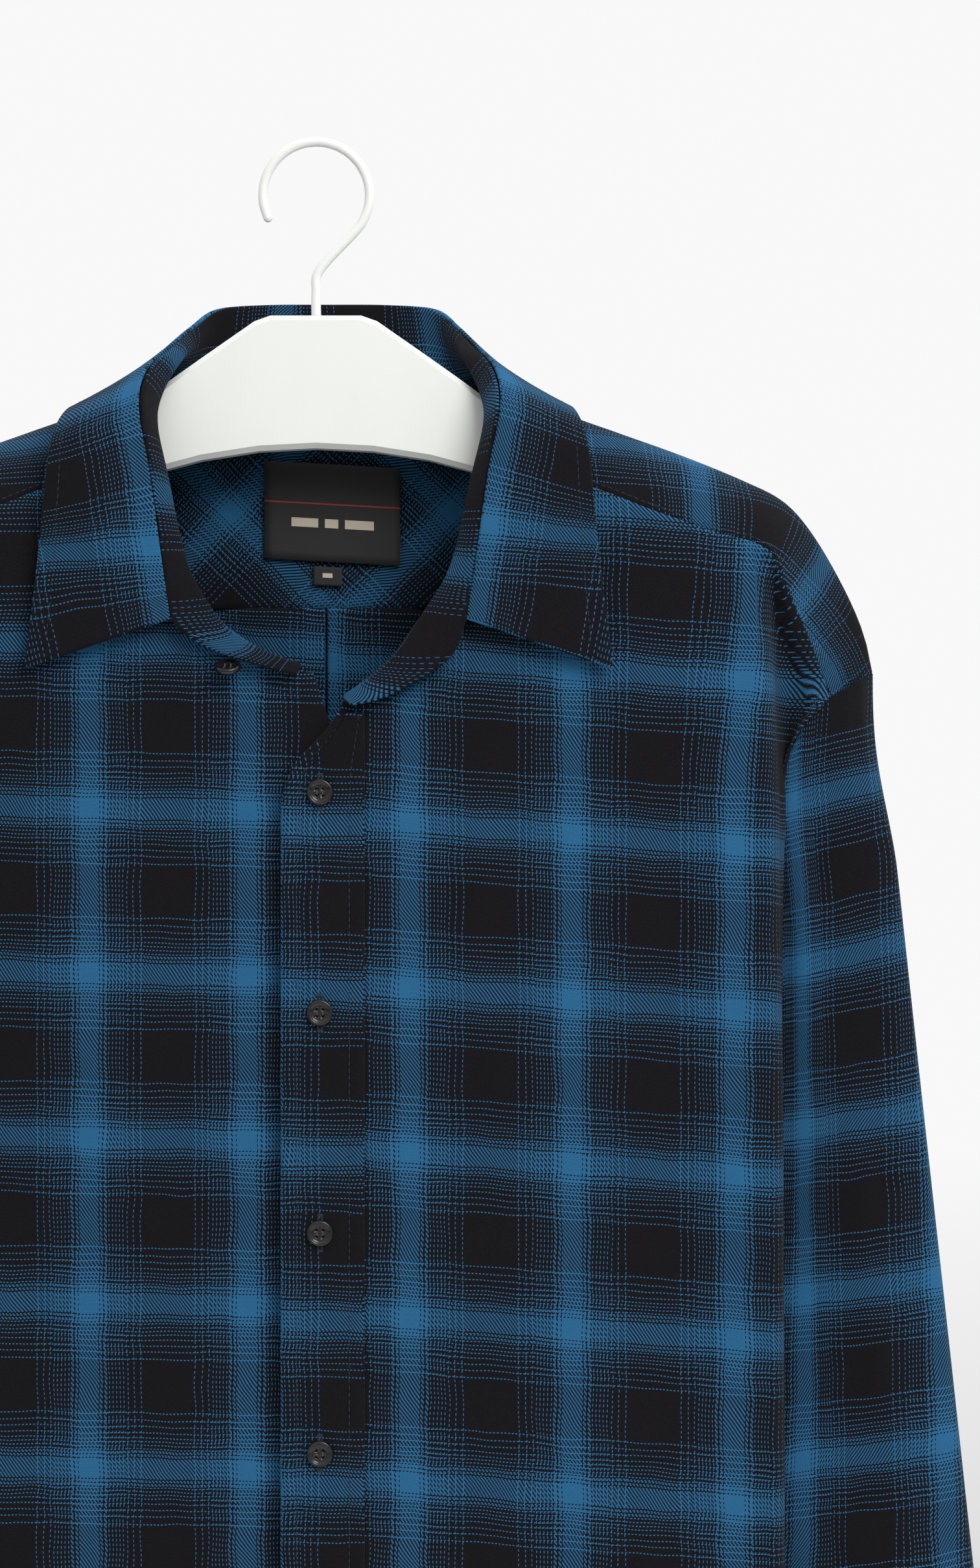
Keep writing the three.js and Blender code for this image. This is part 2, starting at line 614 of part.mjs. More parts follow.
function labelSheet(left, right, top, bottom, tilt) {
  const grid = [0, 0.5, 1].map((down) => [0, 0.5, 1].map((part) => {
    const x = mix(left, right, part);
    const z = mix(top, bottom, down) - tilt * part;
    const depth = clothDepth(Math.abs(x - middle), z) - 2 * wall - 2 * seamGap - 0.8;
    return new THREE.Vector3(x, depth, z);
  }));
  return clothWall(grid, false, 1);
}

const shirt = new THREE.Group();

function addPiece(name, geometry, colour, roughness, metalness = 0) {
  const material = new THREE.MeshStandardMaterial({ color: colour, roughness, metalness });
  const mesh = new THREE.Mesh(geometry, material);
  mesh.name = name;
  shirt.add(mesh);
  return mesh;
}

addPiece('hanger_board', hangerBoard(), colours.board, 0.45);
addPiece('hanger_hook', hangerHook(), colours.wire, 0.35);
addPiece('front_left', frontPanel(1), colours.cloth, 0.92);
addPiece('front_right', frontPanel(-1), colours.cloth, 0.92);
addPiece('placket_left', frontBand(), colours.cloth, 0.92);
addPiece('back_panel', backPanel(), colours.cloth, 0.92);
addPiece('yoke_outer', yokeOuter(), colours.cloth, 0.92);
addPiece('yoke_inner', yokeInner(), colours.cloth, 0.92);
addPiece('collar_stand', collarStand(), colours.cloth, 0.92);
addPiece('collar_leaf', collarLeaf(), colours.cloth, 0.92);
for (const [name, side] of [['left', 1], ['right', -1]]) {
  addPiece(`sleeve_${name}`, sleeve(side), colours.cloth, 0.92);
  addPiece(`cuff_${name}`, cuff(side), colours.cloth, 0.92);
  addPiece(`sleeve_placket_${name}`, sleevePlacket(side), colours.cloth, 0.92);
}
addPiece('label_main', labelSheet(-24.5, 36, -136, -179.5, 3.4), colours.label, 0.8);
addPiece('label_size', labelSheet(-2.5, 10, -183.5, -191.5, 0.6), colours.label, 0.8);

const button = buttonShape();
const buttonSeat = -(bodyDepth + overlapStep + 1.5 * wall + 2 * seamGap + buttonThickness / 2);
for (let count = 0; count < buttonCount; count += 1) {
  const mesh = addPiece(`button_front_${count + 1}`, button.clone(), colours.button, 0.3);
  mesh.position.set(buttonX, buttonSeat, firstButton - count * buttonSpacing);
}

// The stand's button hangs edge-on under the corner of the leaf.
const standButton = addPiece('button_stand', button.clone(), colours.button, 0.3);
standButton.position.set(-36, -40.9, -230.6);
standButton.rotation.x = -1.05;

// Each sleeve has a button on its placket and one on its cuff, both facing back.
for (const [name, side] of [['left', 1], ['right', -1]]) {
  const band = place(onSleeveBack(243, cuffTop + 60, 1.5 * wall + 0.9 + 2 * seamGap + buttonThickness / 2), side, 1);
  const plain = place(onSleeveBack(251, cuffTop, 1 + seamGap + buttonThickness / 2), side, 1);
  for (const [seat, low] of [[band, 0], [plain, cuffHeight / 2]]) {
    const mesh = addPiece(`button_${low ? 'cuff' : 'sleeve'}_${name}`, button.clone(), colours.button, 0.3);
    mesh.position.set(seat.x, seat.y, seat.z - low);
    mesh.rotation.z = Math.PI;
  }
}

export default shirt;
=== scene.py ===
import math
import bpy
import bmesh
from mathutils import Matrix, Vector


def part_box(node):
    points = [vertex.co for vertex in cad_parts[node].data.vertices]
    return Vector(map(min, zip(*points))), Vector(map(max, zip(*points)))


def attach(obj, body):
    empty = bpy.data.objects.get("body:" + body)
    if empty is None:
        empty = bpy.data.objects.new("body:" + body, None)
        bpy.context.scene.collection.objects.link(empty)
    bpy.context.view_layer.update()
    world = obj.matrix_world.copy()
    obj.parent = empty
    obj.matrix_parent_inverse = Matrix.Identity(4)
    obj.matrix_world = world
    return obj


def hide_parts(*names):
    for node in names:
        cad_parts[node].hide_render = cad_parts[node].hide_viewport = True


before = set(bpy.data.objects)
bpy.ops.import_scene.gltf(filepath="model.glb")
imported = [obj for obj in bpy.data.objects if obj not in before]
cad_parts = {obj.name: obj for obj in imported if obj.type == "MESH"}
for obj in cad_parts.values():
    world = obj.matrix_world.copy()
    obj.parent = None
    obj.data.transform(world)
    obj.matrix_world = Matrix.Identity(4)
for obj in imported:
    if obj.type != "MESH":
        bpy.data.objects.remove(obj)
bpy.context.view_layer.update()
mm = 0.001

# the cut and hang of the shirt, in millimetres, as the solids have it
shirt = {
    "middle": 3, "depth": 34, "ridgeRound": 60, "foldRadius": 8, "chestQuarter": 280,
    "hemCentre": -872, "hemRise": 66, "yokeBackSeam": -202, "pleatWidth": 19, "pleatStep": 2.1,
    "cuffTop": -776, "cuffHeight": 64, "overlapStep": 2.5, "cloth": 1.3, "wall": 1.5, "seamGap": 0.3,
    "rim": 0.28, "underarm": -415,
}
middle = shirt["middle"]


def table(columns, *rows):
    return [dict(zip(columns.split(), row)) for row in rows]


ridge = table("x z", (0, -70), (30, -76), (50, -88), (64, -96.5), (76, -102.5), (90, -109.5), (107, -118.5),
              (129, -126.6), (158, -137), (186, -148.5), (203, -157.5), (215, -171), (229, -195), (238, -216),
              (241.5, -232))
depthAcross = table("x y", (0, 34), (188, 34), (200, 29), (212, 19), (222, 14), (241.5, 5))
frontNeck = {
    1: table("x z", (11, -244), (30, -242), (50, -230), (66, -206), (78, -176)),
    -1: table("x z", (3, -233), (12, -231), (30, -227), (50, -217), (66, -200), (78, -174)),
}
frontSeam = table("x z", (86, -147), (118, -152.5), (143, -162), (172, -172), (195, -180), (201.6, -194),
                  (208, -208), (214, -221), (222, -243))
backTop = table("x z", (0, -202), (185, -202), (195, -205), (208, -219), (222, -243))
neckline = table("x z", (0, -107), (40, -106), (62, -104.5), (75, -102.4))
frontEdges = {
    1: table("z x", (-244, 11), (-252, 8), (-262, 0), (-272, -10), (-284, -14.5), (-296, -15.9),
             (-900, -15.9)),
    -1: table("z x", (-233, 3), (-239, 1), (-256, -4.4), (-300, -14), (-900, -14)),
}
sideEdge = table(
    "z x y", (-180, 230, 8), (-243, 222, 14), (-256, 210, 14.5), (-270, 203, 13.5), (-300, 192, 12),
    (-350, 168, 8), (-420, 139, 0), (-500, 136, 0), (-900, 134, 0))
sideFold = table(
    "z x ax ay bx by", (-180, 195, 198, 20, 210, 14), (-243, 197, 201, 12, 211, 9),
    (-270, 198, 203, 17, 205, 12), (-300, 199, 205, 19, 202, 13.5), (-350, 199, 206, 14, 185, 12),
    (-420, 200, 206, 9, 139, 15), (-900, 202, 208, 8, 134, 15))
sleeveTrack = table(
    "z inner outer depth", (-232, 139, 241.5, 12), (-268, 139, 246.4, 13), (-292, 139, 249.5, 13),
    (-430, 141, 264.6, 13), (-536, 146, 276.3, 14), (-680, 166, 292, 14), (-750, 186, 300, 12),
    (-776, 192, 302, 9))
collar = table(
    "neck roll seam edge",
    ((0, 32, -105.2), (0, 36.5, -82), (0, 38.5, -65), (0, 48, -111)),
    ((30, 30.4, -104.6), (29, 35, -82), (28, 37, -65.4), (36, 48, -111)),
    ((54, 22.2, -102.4), (50, 27, -84.5), (47, 30, -68.2), (70, 42, -112)),
    ((67, 11.5, -99.4), (58, 14, -88.5), (57.5, 17, -78), (92, 27, -114)),
    ((72.8, -0.5, -99.2), (62, -2, -93.5), (66, 0, -88.5), (104, 10, -114)),
    ((77.2, -20.8, -110), (69.5, -15, -109), (74.5, -21, -101), (110, -20, -118.4)),
    ((80.5, -32.4, -134), (71.5, -24, -125), (77, -34, -119), (115, -37, -133)),
    ((79, -36.6, -158), (66, -31, -151), (72, -39.5, -148), (118, -40.5, -160)),
    ((72, -36.8, -184), (57.5, -35, -186), (66.5, -41.5, -187), (121, -40.8, -190)),
    ((60, -36.8, -207), (45, -38, -208), (63, -42.5, -210), (126, -41, -231)),
)
standEnds = {
    1: table("neck roll seam", ((44, -37.2, -223), (31, -39.8, -228), (55, -43, -228)),
             ((28, -38.6, -236), (18, -41, -239), (30, -43.8, -243)),
             ((17, -39.2, -241), (11, -41.2, -243.5), (14, -44, -247))),
    -1: table("neck roll seam", ((46, -36.8, -216), (36, -38.2, -217), (48, -41.5, -222)),
              ((28, -36.8, -225.5), (22, -38.6, -225), (27, -41.8, -229.5)),
              ((11, -36.8, -231), (8, -38.8, -230), (10, -42, -234))),
}


def ease(value):
    part = min(1, max(0, value))
    return part * part * (3 - 2 * part)


def mix(start, end, part):
    return start + (end - start) * part


# a smooth reading between the rows of a table, without overshoot
def read(rows, key, place, column):
    rising = rows[-1][key] > rows[0][key]
    past = (i for i, row in enumerate(rows) if (row[key] > place if rising else row[key] < place))
    after = next(past, None)
    if after is None:
        return rows[-1][column]
    if after == 0:
        return rows[0][column]
    low, high = rows[after - 1], rows[after]
    span = high[key] - low[key]
    steep = (high[column] - low[column]) / span

    def slope(index):
        before, later = rows[max(0, index - 1)], rows[min(len(rows) - 1, index + 1)]
        rate = (later[column] - before[column]) / (later[key] - before[key])
        return 0 if rate * steep <= 0 else math.copysign(min(abs(rate), 3 * abs(steep)), steep)

    part = (place - low[key]) / span
    turn = part * (1 - part)
    lean = slope(after - 1) * (1 - part) - slope(after) * part
    return mix(low[column], high[column], ease(part)) + span * turn * lean


# a smooth curve through b and c, with a before them and d after them
def curvePoint(a, b, c, d, part):
    bend = 2 * a - 5 * b + 4 * c - d
    return 0.5 * ((2 * b) + (c - a) * part + bend * part ** 2 + (3 * b - a - 3 * c + d) * part ** 3)


def clothDepth(x, z):
    drop = max(0, read(ridge, "x", x, "z") - z)
    rounding = 1 - min(1, drop / shirt["ridgeRound"])
    return read(depthAcross, "x", x, "y") * math.sqrt(1 - rounding * rounding)


def hemHeight(across):
    return shirt["hemCentre"] + shirt["hemRise"] * ease((across - 110) / (shirt["chestQuarter"] - 110))


def bezier(points, part):
    while len(points) > 1:
        points = [a.lerp(b, part) for a, b in zip(points, points[1:])]
    return points[0]


def gussetPoint(part, z):
    foldX, radius = read(sideFold, "z", z, "x"), shirt["foldRadius"]
    if part < 0.2:
        angle = part / 0.2 * math.pi / 2
        front = -shirt["depth"] + radius * (1 - math.cos(angle))
        return Vector((foldX - radius + radius * math.sin(angle), front))
    handle = [Vector((foldX, -shirt["depth"] + radius))]
    for a, b in (("ax", "ay"), ("bx", "by")):
        handle.append(Vector((read(sideFold, "z", z, a), -read(sideFold, "z", z, b))))
    handle.append(Vector((read(sideEdge, "z", z, "x"), -read(sideEdge, "z", z, "y"))))
    return bezier(handle, (part - 0.2) / 0.8)


def rowHeights(top, bottom, rows):
    return [mix(top, bottom, (row / rows) ** 1.12) for row in range(rows + 1)]


def flatColumns(top, edge, rows, columns):
    foldTop = read(sideFold, "z", -180, "x") - shirt["foldRadius"]
    made = []
    for index in range(columns + 1):
        part = index / columns
        topX = mix(edge(top[0]["z"]), foldTop, part)
        topZ = read(top, "x", topX, "z") - shirt["seamGap"]
        column = []
        for z in rowHeights(topZ, hemHeight(topX), rows):
            x = mix(edge(z), read(sideFold, "z", z, "x") - shirt["foldRadius"], part)
            column.append(Vector((x, -clothDepth(max(0, x), z), z)))
        made.append(column)
    return made


# the soft valley beside the sleeve, the dip under the lapping edge and the edge's own roll
valley = {"deep": 6.5, "fade": 70, "sideGap": 0.3, "enter": 0.3, "leave": 0.92, "over": 0.5,
          "flatter": 0.7, "underX": 18.5, "underDeep": 2.6, "underWide": 4.5,
          "rollHigh": 2.4, "rollWide": 4.5, "rollZ": 292}


def gussetColumns(top, rows, columns):
    foldTop, edgeX = read(sideFold, "z", -180, "x") - shirt["foldRadius"], top[-1]["x"]
    made = []
    for index in range(columns):
        part = (index + 1) / columns
        topX = mix(foldTop, edgeX - shirt["seamGap"], part)
        topZ = read(top, "x", topX, "z") - shirt["seamGap"]
        first = gussetPoint(part, topZ)
        shift = Vector((topX - first.x, -clothDepth(topX, topZ) - first.y))
        column = []
        for z in rowHeights(topZ, hemHeight(mix(foldTop, shirt["chestQuarter"], part)), rows):
            at = gussetPoint(part, z) + shift * (1 - ease((topZ - z) / valley["fade"]))
            hollow = valley["deep"] * ease(part / valley["enter"])
            hollow *= ease((valley["leave"] - part) / valley["over"])
            hollow *= ease((topZ - z) / 30)
            hollow *= 1 - valley["flatter"] * ease((-z - 290) / 120)
            column.append(Vector((at.x, at.y + hollow - valley["sideGap"] * ease((part - 0.9) / 0.1), z)))
        made.append(column)
    return made


def rowsOf(columns):
    return [list(row) for row in zip(*columns)]


def placed(point, side, face=1):
    return Vector((middle + side * point.x, face * point.y, point.z))


# soft troughs and ridges, listed: place and size across, down, and the height of each
frontCreases = table(
    "side x z wide tall lean height",
    (1, 62, -330, 16, 130, 0.10, 1.6), (1, 150, -470, 22, 240, -0.04, -1.8),
    (1, 104, -640, 26, 260, 0.05, 1.5), (1, 176, -300, 10, 90, 0.16, 1.7),
    (1, 30, -560, 14, 180, 0.02, -1.2), (1, 140, -760, 24, 150, 0.08, 1.9),
    (-1, 40, -330, 13, 120, -0.12, -1.6), (-1, 92, -420, 24, 220, 0.07, 1.8),
    (-1, 150, -350, 17, 150, -0.05, -1.5), (-1, 120, -650, 26, 230, 0.06, 1.7),
    (-1, 55, -730, 18, 170, -0.03, -1.4), (-1, 176, -560, 12, 200, 0.04, 1.3),
)
backCreases = table(
    "side x z wide tall lean height",
    (1, 70, -380, 20, 190, 0.06, 1.8), (1, 130, -520, 26, 240, -0.05, -1.7),
    (1, 165, -300, 14, 110, 0.12, 1.6), (1, 90, -730, 22, 150, 0.04, 1.9),
    (-1, 60, -330, 18, 150, -0.06, -1.6), (-1, 112, -460, 24, 250, 0.05, 1.9),
    (-1, 160, -640, 20, 200, -0.04, -1.5), (-1, 78, -760, 20, 120, 0.07, 1.7),
)


def creaseHeight(creases, side, x, z):
    height = 0
    for crease in creases:
        if crease["side"] != side:
            continue
        down = (z - crease["z"]) / crease["tall"]
        across = (x - crease["x"] - crease["lean"] * (z - crease["z"])) / crease["wide"]
        if abs(down) < 1 and abs(across) < 2.5:
            height += crease["height"] * math.exp(-across * across) * (1 - down * down) ** 2
    return height


# creases fade out towards the opening, the turn of the side and the seam above: from where, over how far
creaseFade = {"front": (22, 20, 250, 40), "back": (30, 25, 215, 40), "side": (186, 10)}


def creaseCalm(point, panel):
    edge, over, seam, under = creaseFade[panel]
    turn, before = creaseFade["side"]
    return ease((point.x - edge) / over) * ease((turn - point.x) / before) * ease((-point.z - seam) / under)


# yarn places on the cloth: the same check runs over a panel from its own grain lines
plaid = {
    "repeat": 70.1, "ends": 180, "picks": 134,
    "blue": (0.0225, 0.128, 0.268), "black": (0.0058, 0.0056, 0.0080),
    "bandX": {1: 41.7, -1: -28.4}, "stretch": {1: 1.0, -1: 1.03}, "bandZ": {1: -297.3, -1: -292.3},
    "skew": {1: 0.07, -1: 0.02}, "fall": 0.985, "shoulder": 9, "shoulderZ": 285, "shoulderX": 120,
}


def lengthAlong(points, start=0.0):
    total, made = start, [start]
    for a, b in zip(points, points[1:]):
        total += (b - a).length
        made.append(total)
    return made


def bodyPattern(row, side, start, half=None):
    half = half or side
    made = []
    for point, u in zip(row, lengthAlong([Vector((p.x, p.y)) for p in row], start)):
        x = middle + side * u
        rise = max(0, point.z + plaid["shoulderZ"]) / 105
        shoulder = side * plaid["shoulder"] * rise * ease((abs(u) - plaid["shoulderX"]) / 60)
        across = (x - plaid["bandX"][half]) * plaid["stretch"][half] - shoulder
        sunk = -point.z + plaid["bandZ"][half] - plaid["skew"][half] * (x - plaid["bandX"][half])
        made.append((across, sunk * plaid["fall"]))
    return made


def pieceName(node):
    first, *rest = node.split("_")
    return first + "".join(word.capitalize() for word in rest)


def sided(node, side):
    return node + ("_left" if side > 0 else "_right")


def makeMesh(name, points, faces, uvs, material, node=None):
    mesh = bpy.data.meshes.new(name)
    mesh.from_pydata([p * mm for p in points], [], faces)
    if uvs:
        layer = mesh.uv_layers.new(name="pattern")
        for polygon in mesh.polygons:
            for loop in polygon.loop_indices:
                layer.data[loop].uv = uvs[mesh.loops[loop].vertex_index]
    mesh.polygons.foreach_set("use_smooth", [True] * len(mesh.polygons))
    mesh.update()
    bm = bmesh.new()
    bm.from_mesh(mesh)
    bmesh.ops.recalc_face_normals(bm, faces=bm.faces)
    bm.to_mesh(mesh)
    bm.free()
    piece = bpy.data.objects.new(name, mesh)
    bpy.context.scene.collection.objects.link(piece)
    piece.data.materials.append(material)
    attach(piece, "root")
    if node:
        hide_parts(node)
    return piece


# a closed shell of cloth over a grid of points, with the pattern on both faces and a rounded rim
def clothShell(node, grid, uvGrid, material, closed=False, thickness=None, lift=0.0, name=None):
    name = name or pieceName(node)
    thickness = thickness or shirt["cloth"]
    rows, columns = len(grid), len(grid[0])

    def at(row, column):
        column = column % columns if closed else min(columns - 1, max(0, column))
        return grid[min(rows - 1, max(0, row))][column]

    points, uvs, normals = [], [], []
    for row in range(rows):
        for column in range(columns):
            along = at(row, column + 1) - at(row, column - 1)
            down = at(row + 1, column) - at(row - 1, column)
            normals.append(along.cross(down).normalized())
    for half in (0.5, -0.5):
        for row in range(rows):
            for column in range(columns):
                normal = normals[row * columns + column]
                points.append(grid[row][column] + normal * (half * thickness + lift))
                uvs.append(uvGrid[row][column])
    layer = rows * columns
    faces = []
    last = columns if closed else columns - 1
    for row in range(rows - 1):
        for column in range(last):
            a, b = row * columns + column, row * columns + (column + 1) % columns
            c, d = b + columns, a + columns
            faces.append((a, b, c, d))
            faces.append((layer + a, layer + d, layer + c, layer + b))
    rim = []
    for column in range(last):
        right = (column + 1) % columns
        rim.append((column, right))
        rim.append(((rows - 1) * columns + right, (rows - 1) * columns + column))
    if not closed:
        for row in range(rows - 1):
            rim.append(((row + 1) * columns, row * columns))
            rim.append((row * columns + columns - 1, (row + 1) * columns + columns - 1))
    rimPoint = {}
    for a, b in rim:
        for v in (a, b):
            if v not in rimPoint:
                row, column = divmod(v, columns)
                outward = Vector((0, 0, 0))
                if row in (0, rows - 1):
                    outward += (at(row, column) - at(1 if row == 0 else rows - 2, column)).normalized()
                if not closed and column in (0, columns - 1):
                    outward += (at(row, column) - at(row, 1 if column == 0 else columns - 2)).normalized()
                rimPoint[v] = len(points)
                beyond = outward.normalized() * thickness * shirt["rim"]
                points.append(grid[row][column] + normals[v] * lift + beyond)
                uvs.append(uvGrid[row][column])
        faces.append((b, a, rimPoint[a], rimPoint[b]))
        faces.append((rimPoint[b], rimPoint[a], layer + a, layer + b))
    piece = makeMesh(name, points, faces, uvs, material, node)
    shells[name] = {"piece": piece, "grid": grid, "normals": normals, "half": thickness / 2, "lift": lift,
                    "trims": [], "closed": closed}


shells = {}


# a point on a shell's face, from its place among the rows and columns
def onShell(name, row, column, face):
    shell = shells[name]
    grid, wide = shell["grid"], len(shell["grid"][0])
    row = min(len(grid) - 1.001, max(0, row))
    column = column % wide if shell["closed"] else min(wide - 1.001, max(0, column))
    r, c = int(row), int(column)
    n = (c + 1) % wide

    def blend(at):
        return at(r, c).lerp(at(r, n), column - c).lerp(at(r + 1, c).lerp(at(r + 1, n), column - c), row - r)

    normal = blend(lambda i, j: shell["normals"][i * wide + j]) * face
    return blend(lambda i, j: grid[i][j]) + normal * (shell["half"] + shell["lift"] * face), normal


# shader maths as plain expressions
class Wire:
    def __init__(self, shade, socket):
        self.shade, self.socket = shade, socket

    def maths(self, operation, *values):
        return self.shade.add("ShaderNodeMath", {"operation": operation}, dict(enumerate(values)))[0]

    def __lt__(self, other):
        return self.maths("LESS_THAN", self, other)

    def __gt__(self, other):
        return self.maths("GREATER_THAN", self, other)

    def __abs__(self):
        return self.maths("ABSOLUTE", self)

    def floor(self):
        return self.maths("FLOOR", self)


# the four operators and their reflected forms
for word, operation in (("add", "ADD"), ("sub", "SUBTRACT"), ("mul", "MULTIPLY"), ("truediv", "DIVIDE")):
    setattr(Wire, f"__{word}__", lambda self, other, does=operation: self.maths(does, self, other))
    setattr(Wire, f"__r{word}__", lambda self, other, does=operation: self.maths(does, other, self))


class Shade:
    def __init__(self, name, **fixed):
        self.material = bpy.data.materials.new(name)
        self.material.use_nodes = True
        self.tree = self.material.node_tree
        self.bsdf = next(n for n in self.tree.nodes if n.type == "BSDF_PRINCIPLED")
        for label, value in fixed.items():
            self.bsdf.inputs[label.replace("_", " ")].default_value = value

    def add(self, kind, settings=None, inputs=None):
        node = self.tree.nodes.new(kind)
        for key, value in (settings or {}).items():
            if key == "stops":
                node.color_ramp.interpolation = value[0]
                while len(node.color_ramp.elements) < len(value[1]):
                    node.color_ramp.elements.new(0.5)
                for element, (place, colour) in zip(node.color_ramp.elements, value[1]):
                    element.position = place
                    element.color = (*colour, 1)
            else:
                setattr(node, key, value)
        for key, value in (inputs or {}).items():
            if isinstance(value, Wire):
                self.tree.links.new(value.socket, node.inputs[key])
            else:
                node.inputs[key].default_value = value
        return [Wire(self, socket) for socket in node.outputs]

    def noise(self, place, scale, detail):
        return self.add("ShaderNodeTexNoise", {}, {"Vector": place, "Scale": scale, "Detail": detail})[0]

    def to(self, label, wire):
        self.tree.links.new(wire.socket, self.bsdf.inputs[label])

    def blend(self, factor, first, second, kind="MIX"):
        node = self.tree.nodes.new("ShaderNodeMix")
        node.data_type, node.blend_type = "RGBA", kind
        for socket, value in ((node.inputs[0], factor), (node.inputs[6], first), (node.inputs[7], second)):
            if isinstance(value, Wire):
                self.tree.links.new(value.socket, socket)
            else:
                socket.default_value = value if isinstance(value, (int, float)) else (*value, 1)
        return Wire(self, node.outputs[2])

    def bump(self, height, strength, distance):
        made = self.add("ShaderNodeBump", {}, {"Height": height, "Strength": strength, "Distance": distance})
        self.to("Normal", made[0])


# yarns from the middle of a blue band out to the middle of a black one: how many blue, then how many black
endChart = ((12, 1), (3, 2), (3, 2), (1, 3), (1, 3), (1, 3), (1, 3), (1, 4), (1, 6), (1, 7), (1, 31))
pickChart = ((9, 1), (2, 1), (2, 1), (1, 2), (1, 2), (1, 2), (1, 3), (1, 4), (1, 4), (1, 5), (1, 22))
# float sets painted highlight on the crown of each yarn and painted shade in the gaps between yarns; fleck,
# patchy and bleached are the cloth's own random tone
nap = {"roughness": 0.9, "sheen": 0.03, "sheenRough": 0.5, "specular": 0.08, "base": 0.42, "float": 0.78,
       "fleck": 0.5, "patchy": 0.2, "bleached": 0.08, "pale": (0.24, 0.17, 0.16), "bump": 0.5,
       "bumpDepth": 0.00018}
weave = {"drift": 2.4, "driftScale": 0.05, "wobble": 0.12, "wobbleScale": 0.9, "step": 4, "over": 1.5}


def yarnStops(chart, half):
    stops, place = [], 0
    for blue, black in chart:
        stops.append((place / (half + 1), plaid["blue"]))
        stops.append(((place + blue) / (half + 1), plaid["black"]))
        place += blue + black
    return "CONSTANT", stops


def flannelMaterial():
    shade = Shade("brushedPlaidTwill", Roughness=nap["roughness"], Sheen_Weight=nap["sheen"],
                  Sheen_Roughness=nap["sheenRough"], Specular_IOR_Level=nap["specular"])
    spot = shade.add("ShaderNodeUVMap", {"uv_map": "pattern"})[0]
    u, v, _ = shade.add("ShaderNodeSeparateXYZ", {}, {0: spot})
    wave = shade.noise(spot, weave["driftScale"], 1.0)
    small = shade.noise(spot, weave["wobbleScale"], 1.0)
    yarns, colours = [], []
    for along, chart, count, drift in ((u, endChart, plaid["ends"], wave - 0.5),
                                       (v, pickChart, plaid["picks"], 0.5 - wave)):
        yarn = (along + drift * weave["drift"] + (small - 0.5) * weave["wobble"]) * (count / plaid["repeat"])
        half, whole = count / 2, yarn.floor()
        inRepeat = whole - ((whole + half) / count).floor() * count
        ramp = shade.add("ShaderNodeValToRGB", {"stops": yarnStops(chart, half)},
                         {0: (abs(inRepeat) + 0.5) / (half + 1)})
        colours.append(ramp[0])
        yarns.append((yarn, whole))
    (warp, end), (weft, pick) = yarns
    step = end - pick
    warpOver = (step - (step / weave["step"]).floor() * weave["step"]) < weave["over"]
    colour = shade.blend(warpOver, colours[1], colours[0])
    across, along = warp - end - 0.5, weft - pick - 0.5
    height = warpOver * (1 - across * across * 4) + (1 - warpOver) * (1 - along * along * 4)
    fuzz = shade.noise(spot, 4.0, 3.0)
    # painted yarn shade: each yarn is lighter on its crown and darker at its edges, as light would fall on
    # it, with random flecks and patches of the cloth's own tone on top
    paintedYarnShadeAndFleck = nap["base"] + height * nap["float"] + (fuzz - 0.5) * nap["fleck"] + (wave - 0.5) * nap["patchy"]
    shadeAndFleckGrey = shade.add("ShaderNodeCombineXYZ", {}, {0: paintedYarnShadeAndFleck, 1: paintedYarnShadeAndFleck, 2: paintedYarnShadeAndFleck})[0]
    colour = shade.blend(1.0, colour, shadeAndFleckGrey, "MULTIPLY")
    shade.to("Base Color", shade.blend((fuzz > 0.60) * nap["bleached"], colour, nap["pale"]))
    shade.bump(height + fuzz * 0.7, nap["bump"], nap["bumpDepth"])
    return shade.material


flannel = flannelMaterial()
print("cloth material made")


panel = {"frontRows": 128, "frontFlat": 56, "backRows": 120, "backFlat": 46, "gusset": 34, "lap": (18, 40),
         "pleatEase": 0.35, "pleatLong": 600, "pleatSoft": 26}


def frontPiece(side):
    top, rows = frontNeck[side] + frontSeam, panel["frontRows"]

    def edge(z):
        return read(frontEdges[side], "z", z, "x")

    columns = flatColumns(top, edge, rows, panel["frontFlat"]) + gussetColumns(top, rows, panel["gusset"])
    grid, uvGrid = [], []
    for row in rowsOf(columns):
        uvGrid.append(bodyPattern(row, side, row[0].x))
        for point in row[:panel["frontFlat"] + 1]:
            point.y -= creaseHeight(frontCreases, side, point.x, point.z) * creaseCalm(point, "front")
            if side > 0:
                roll = math.exp(-((point.x - row[0].x) / valley["rollWide"]) ** 2)
                roll *= ease((valley["rollZ"] + point.z) / 30)
                lap = shirt["overlapStep"] * (1 - ease((point.x - panel["lap"][0]) / panel["lap"][1]))
                point.y -= lap + valley["rollHigh"] * roll
            else:
                away = (point.x - valley["underX"]) / valley["underWide"]
                point.y += valley["underDeep"] * math.exp(-away * away) * ease((-point.z - 262) / 30)
        grid.append([placed(point, side) for point in row])
    clothShell(sided("front", side), grid, uvGrid, flannel)


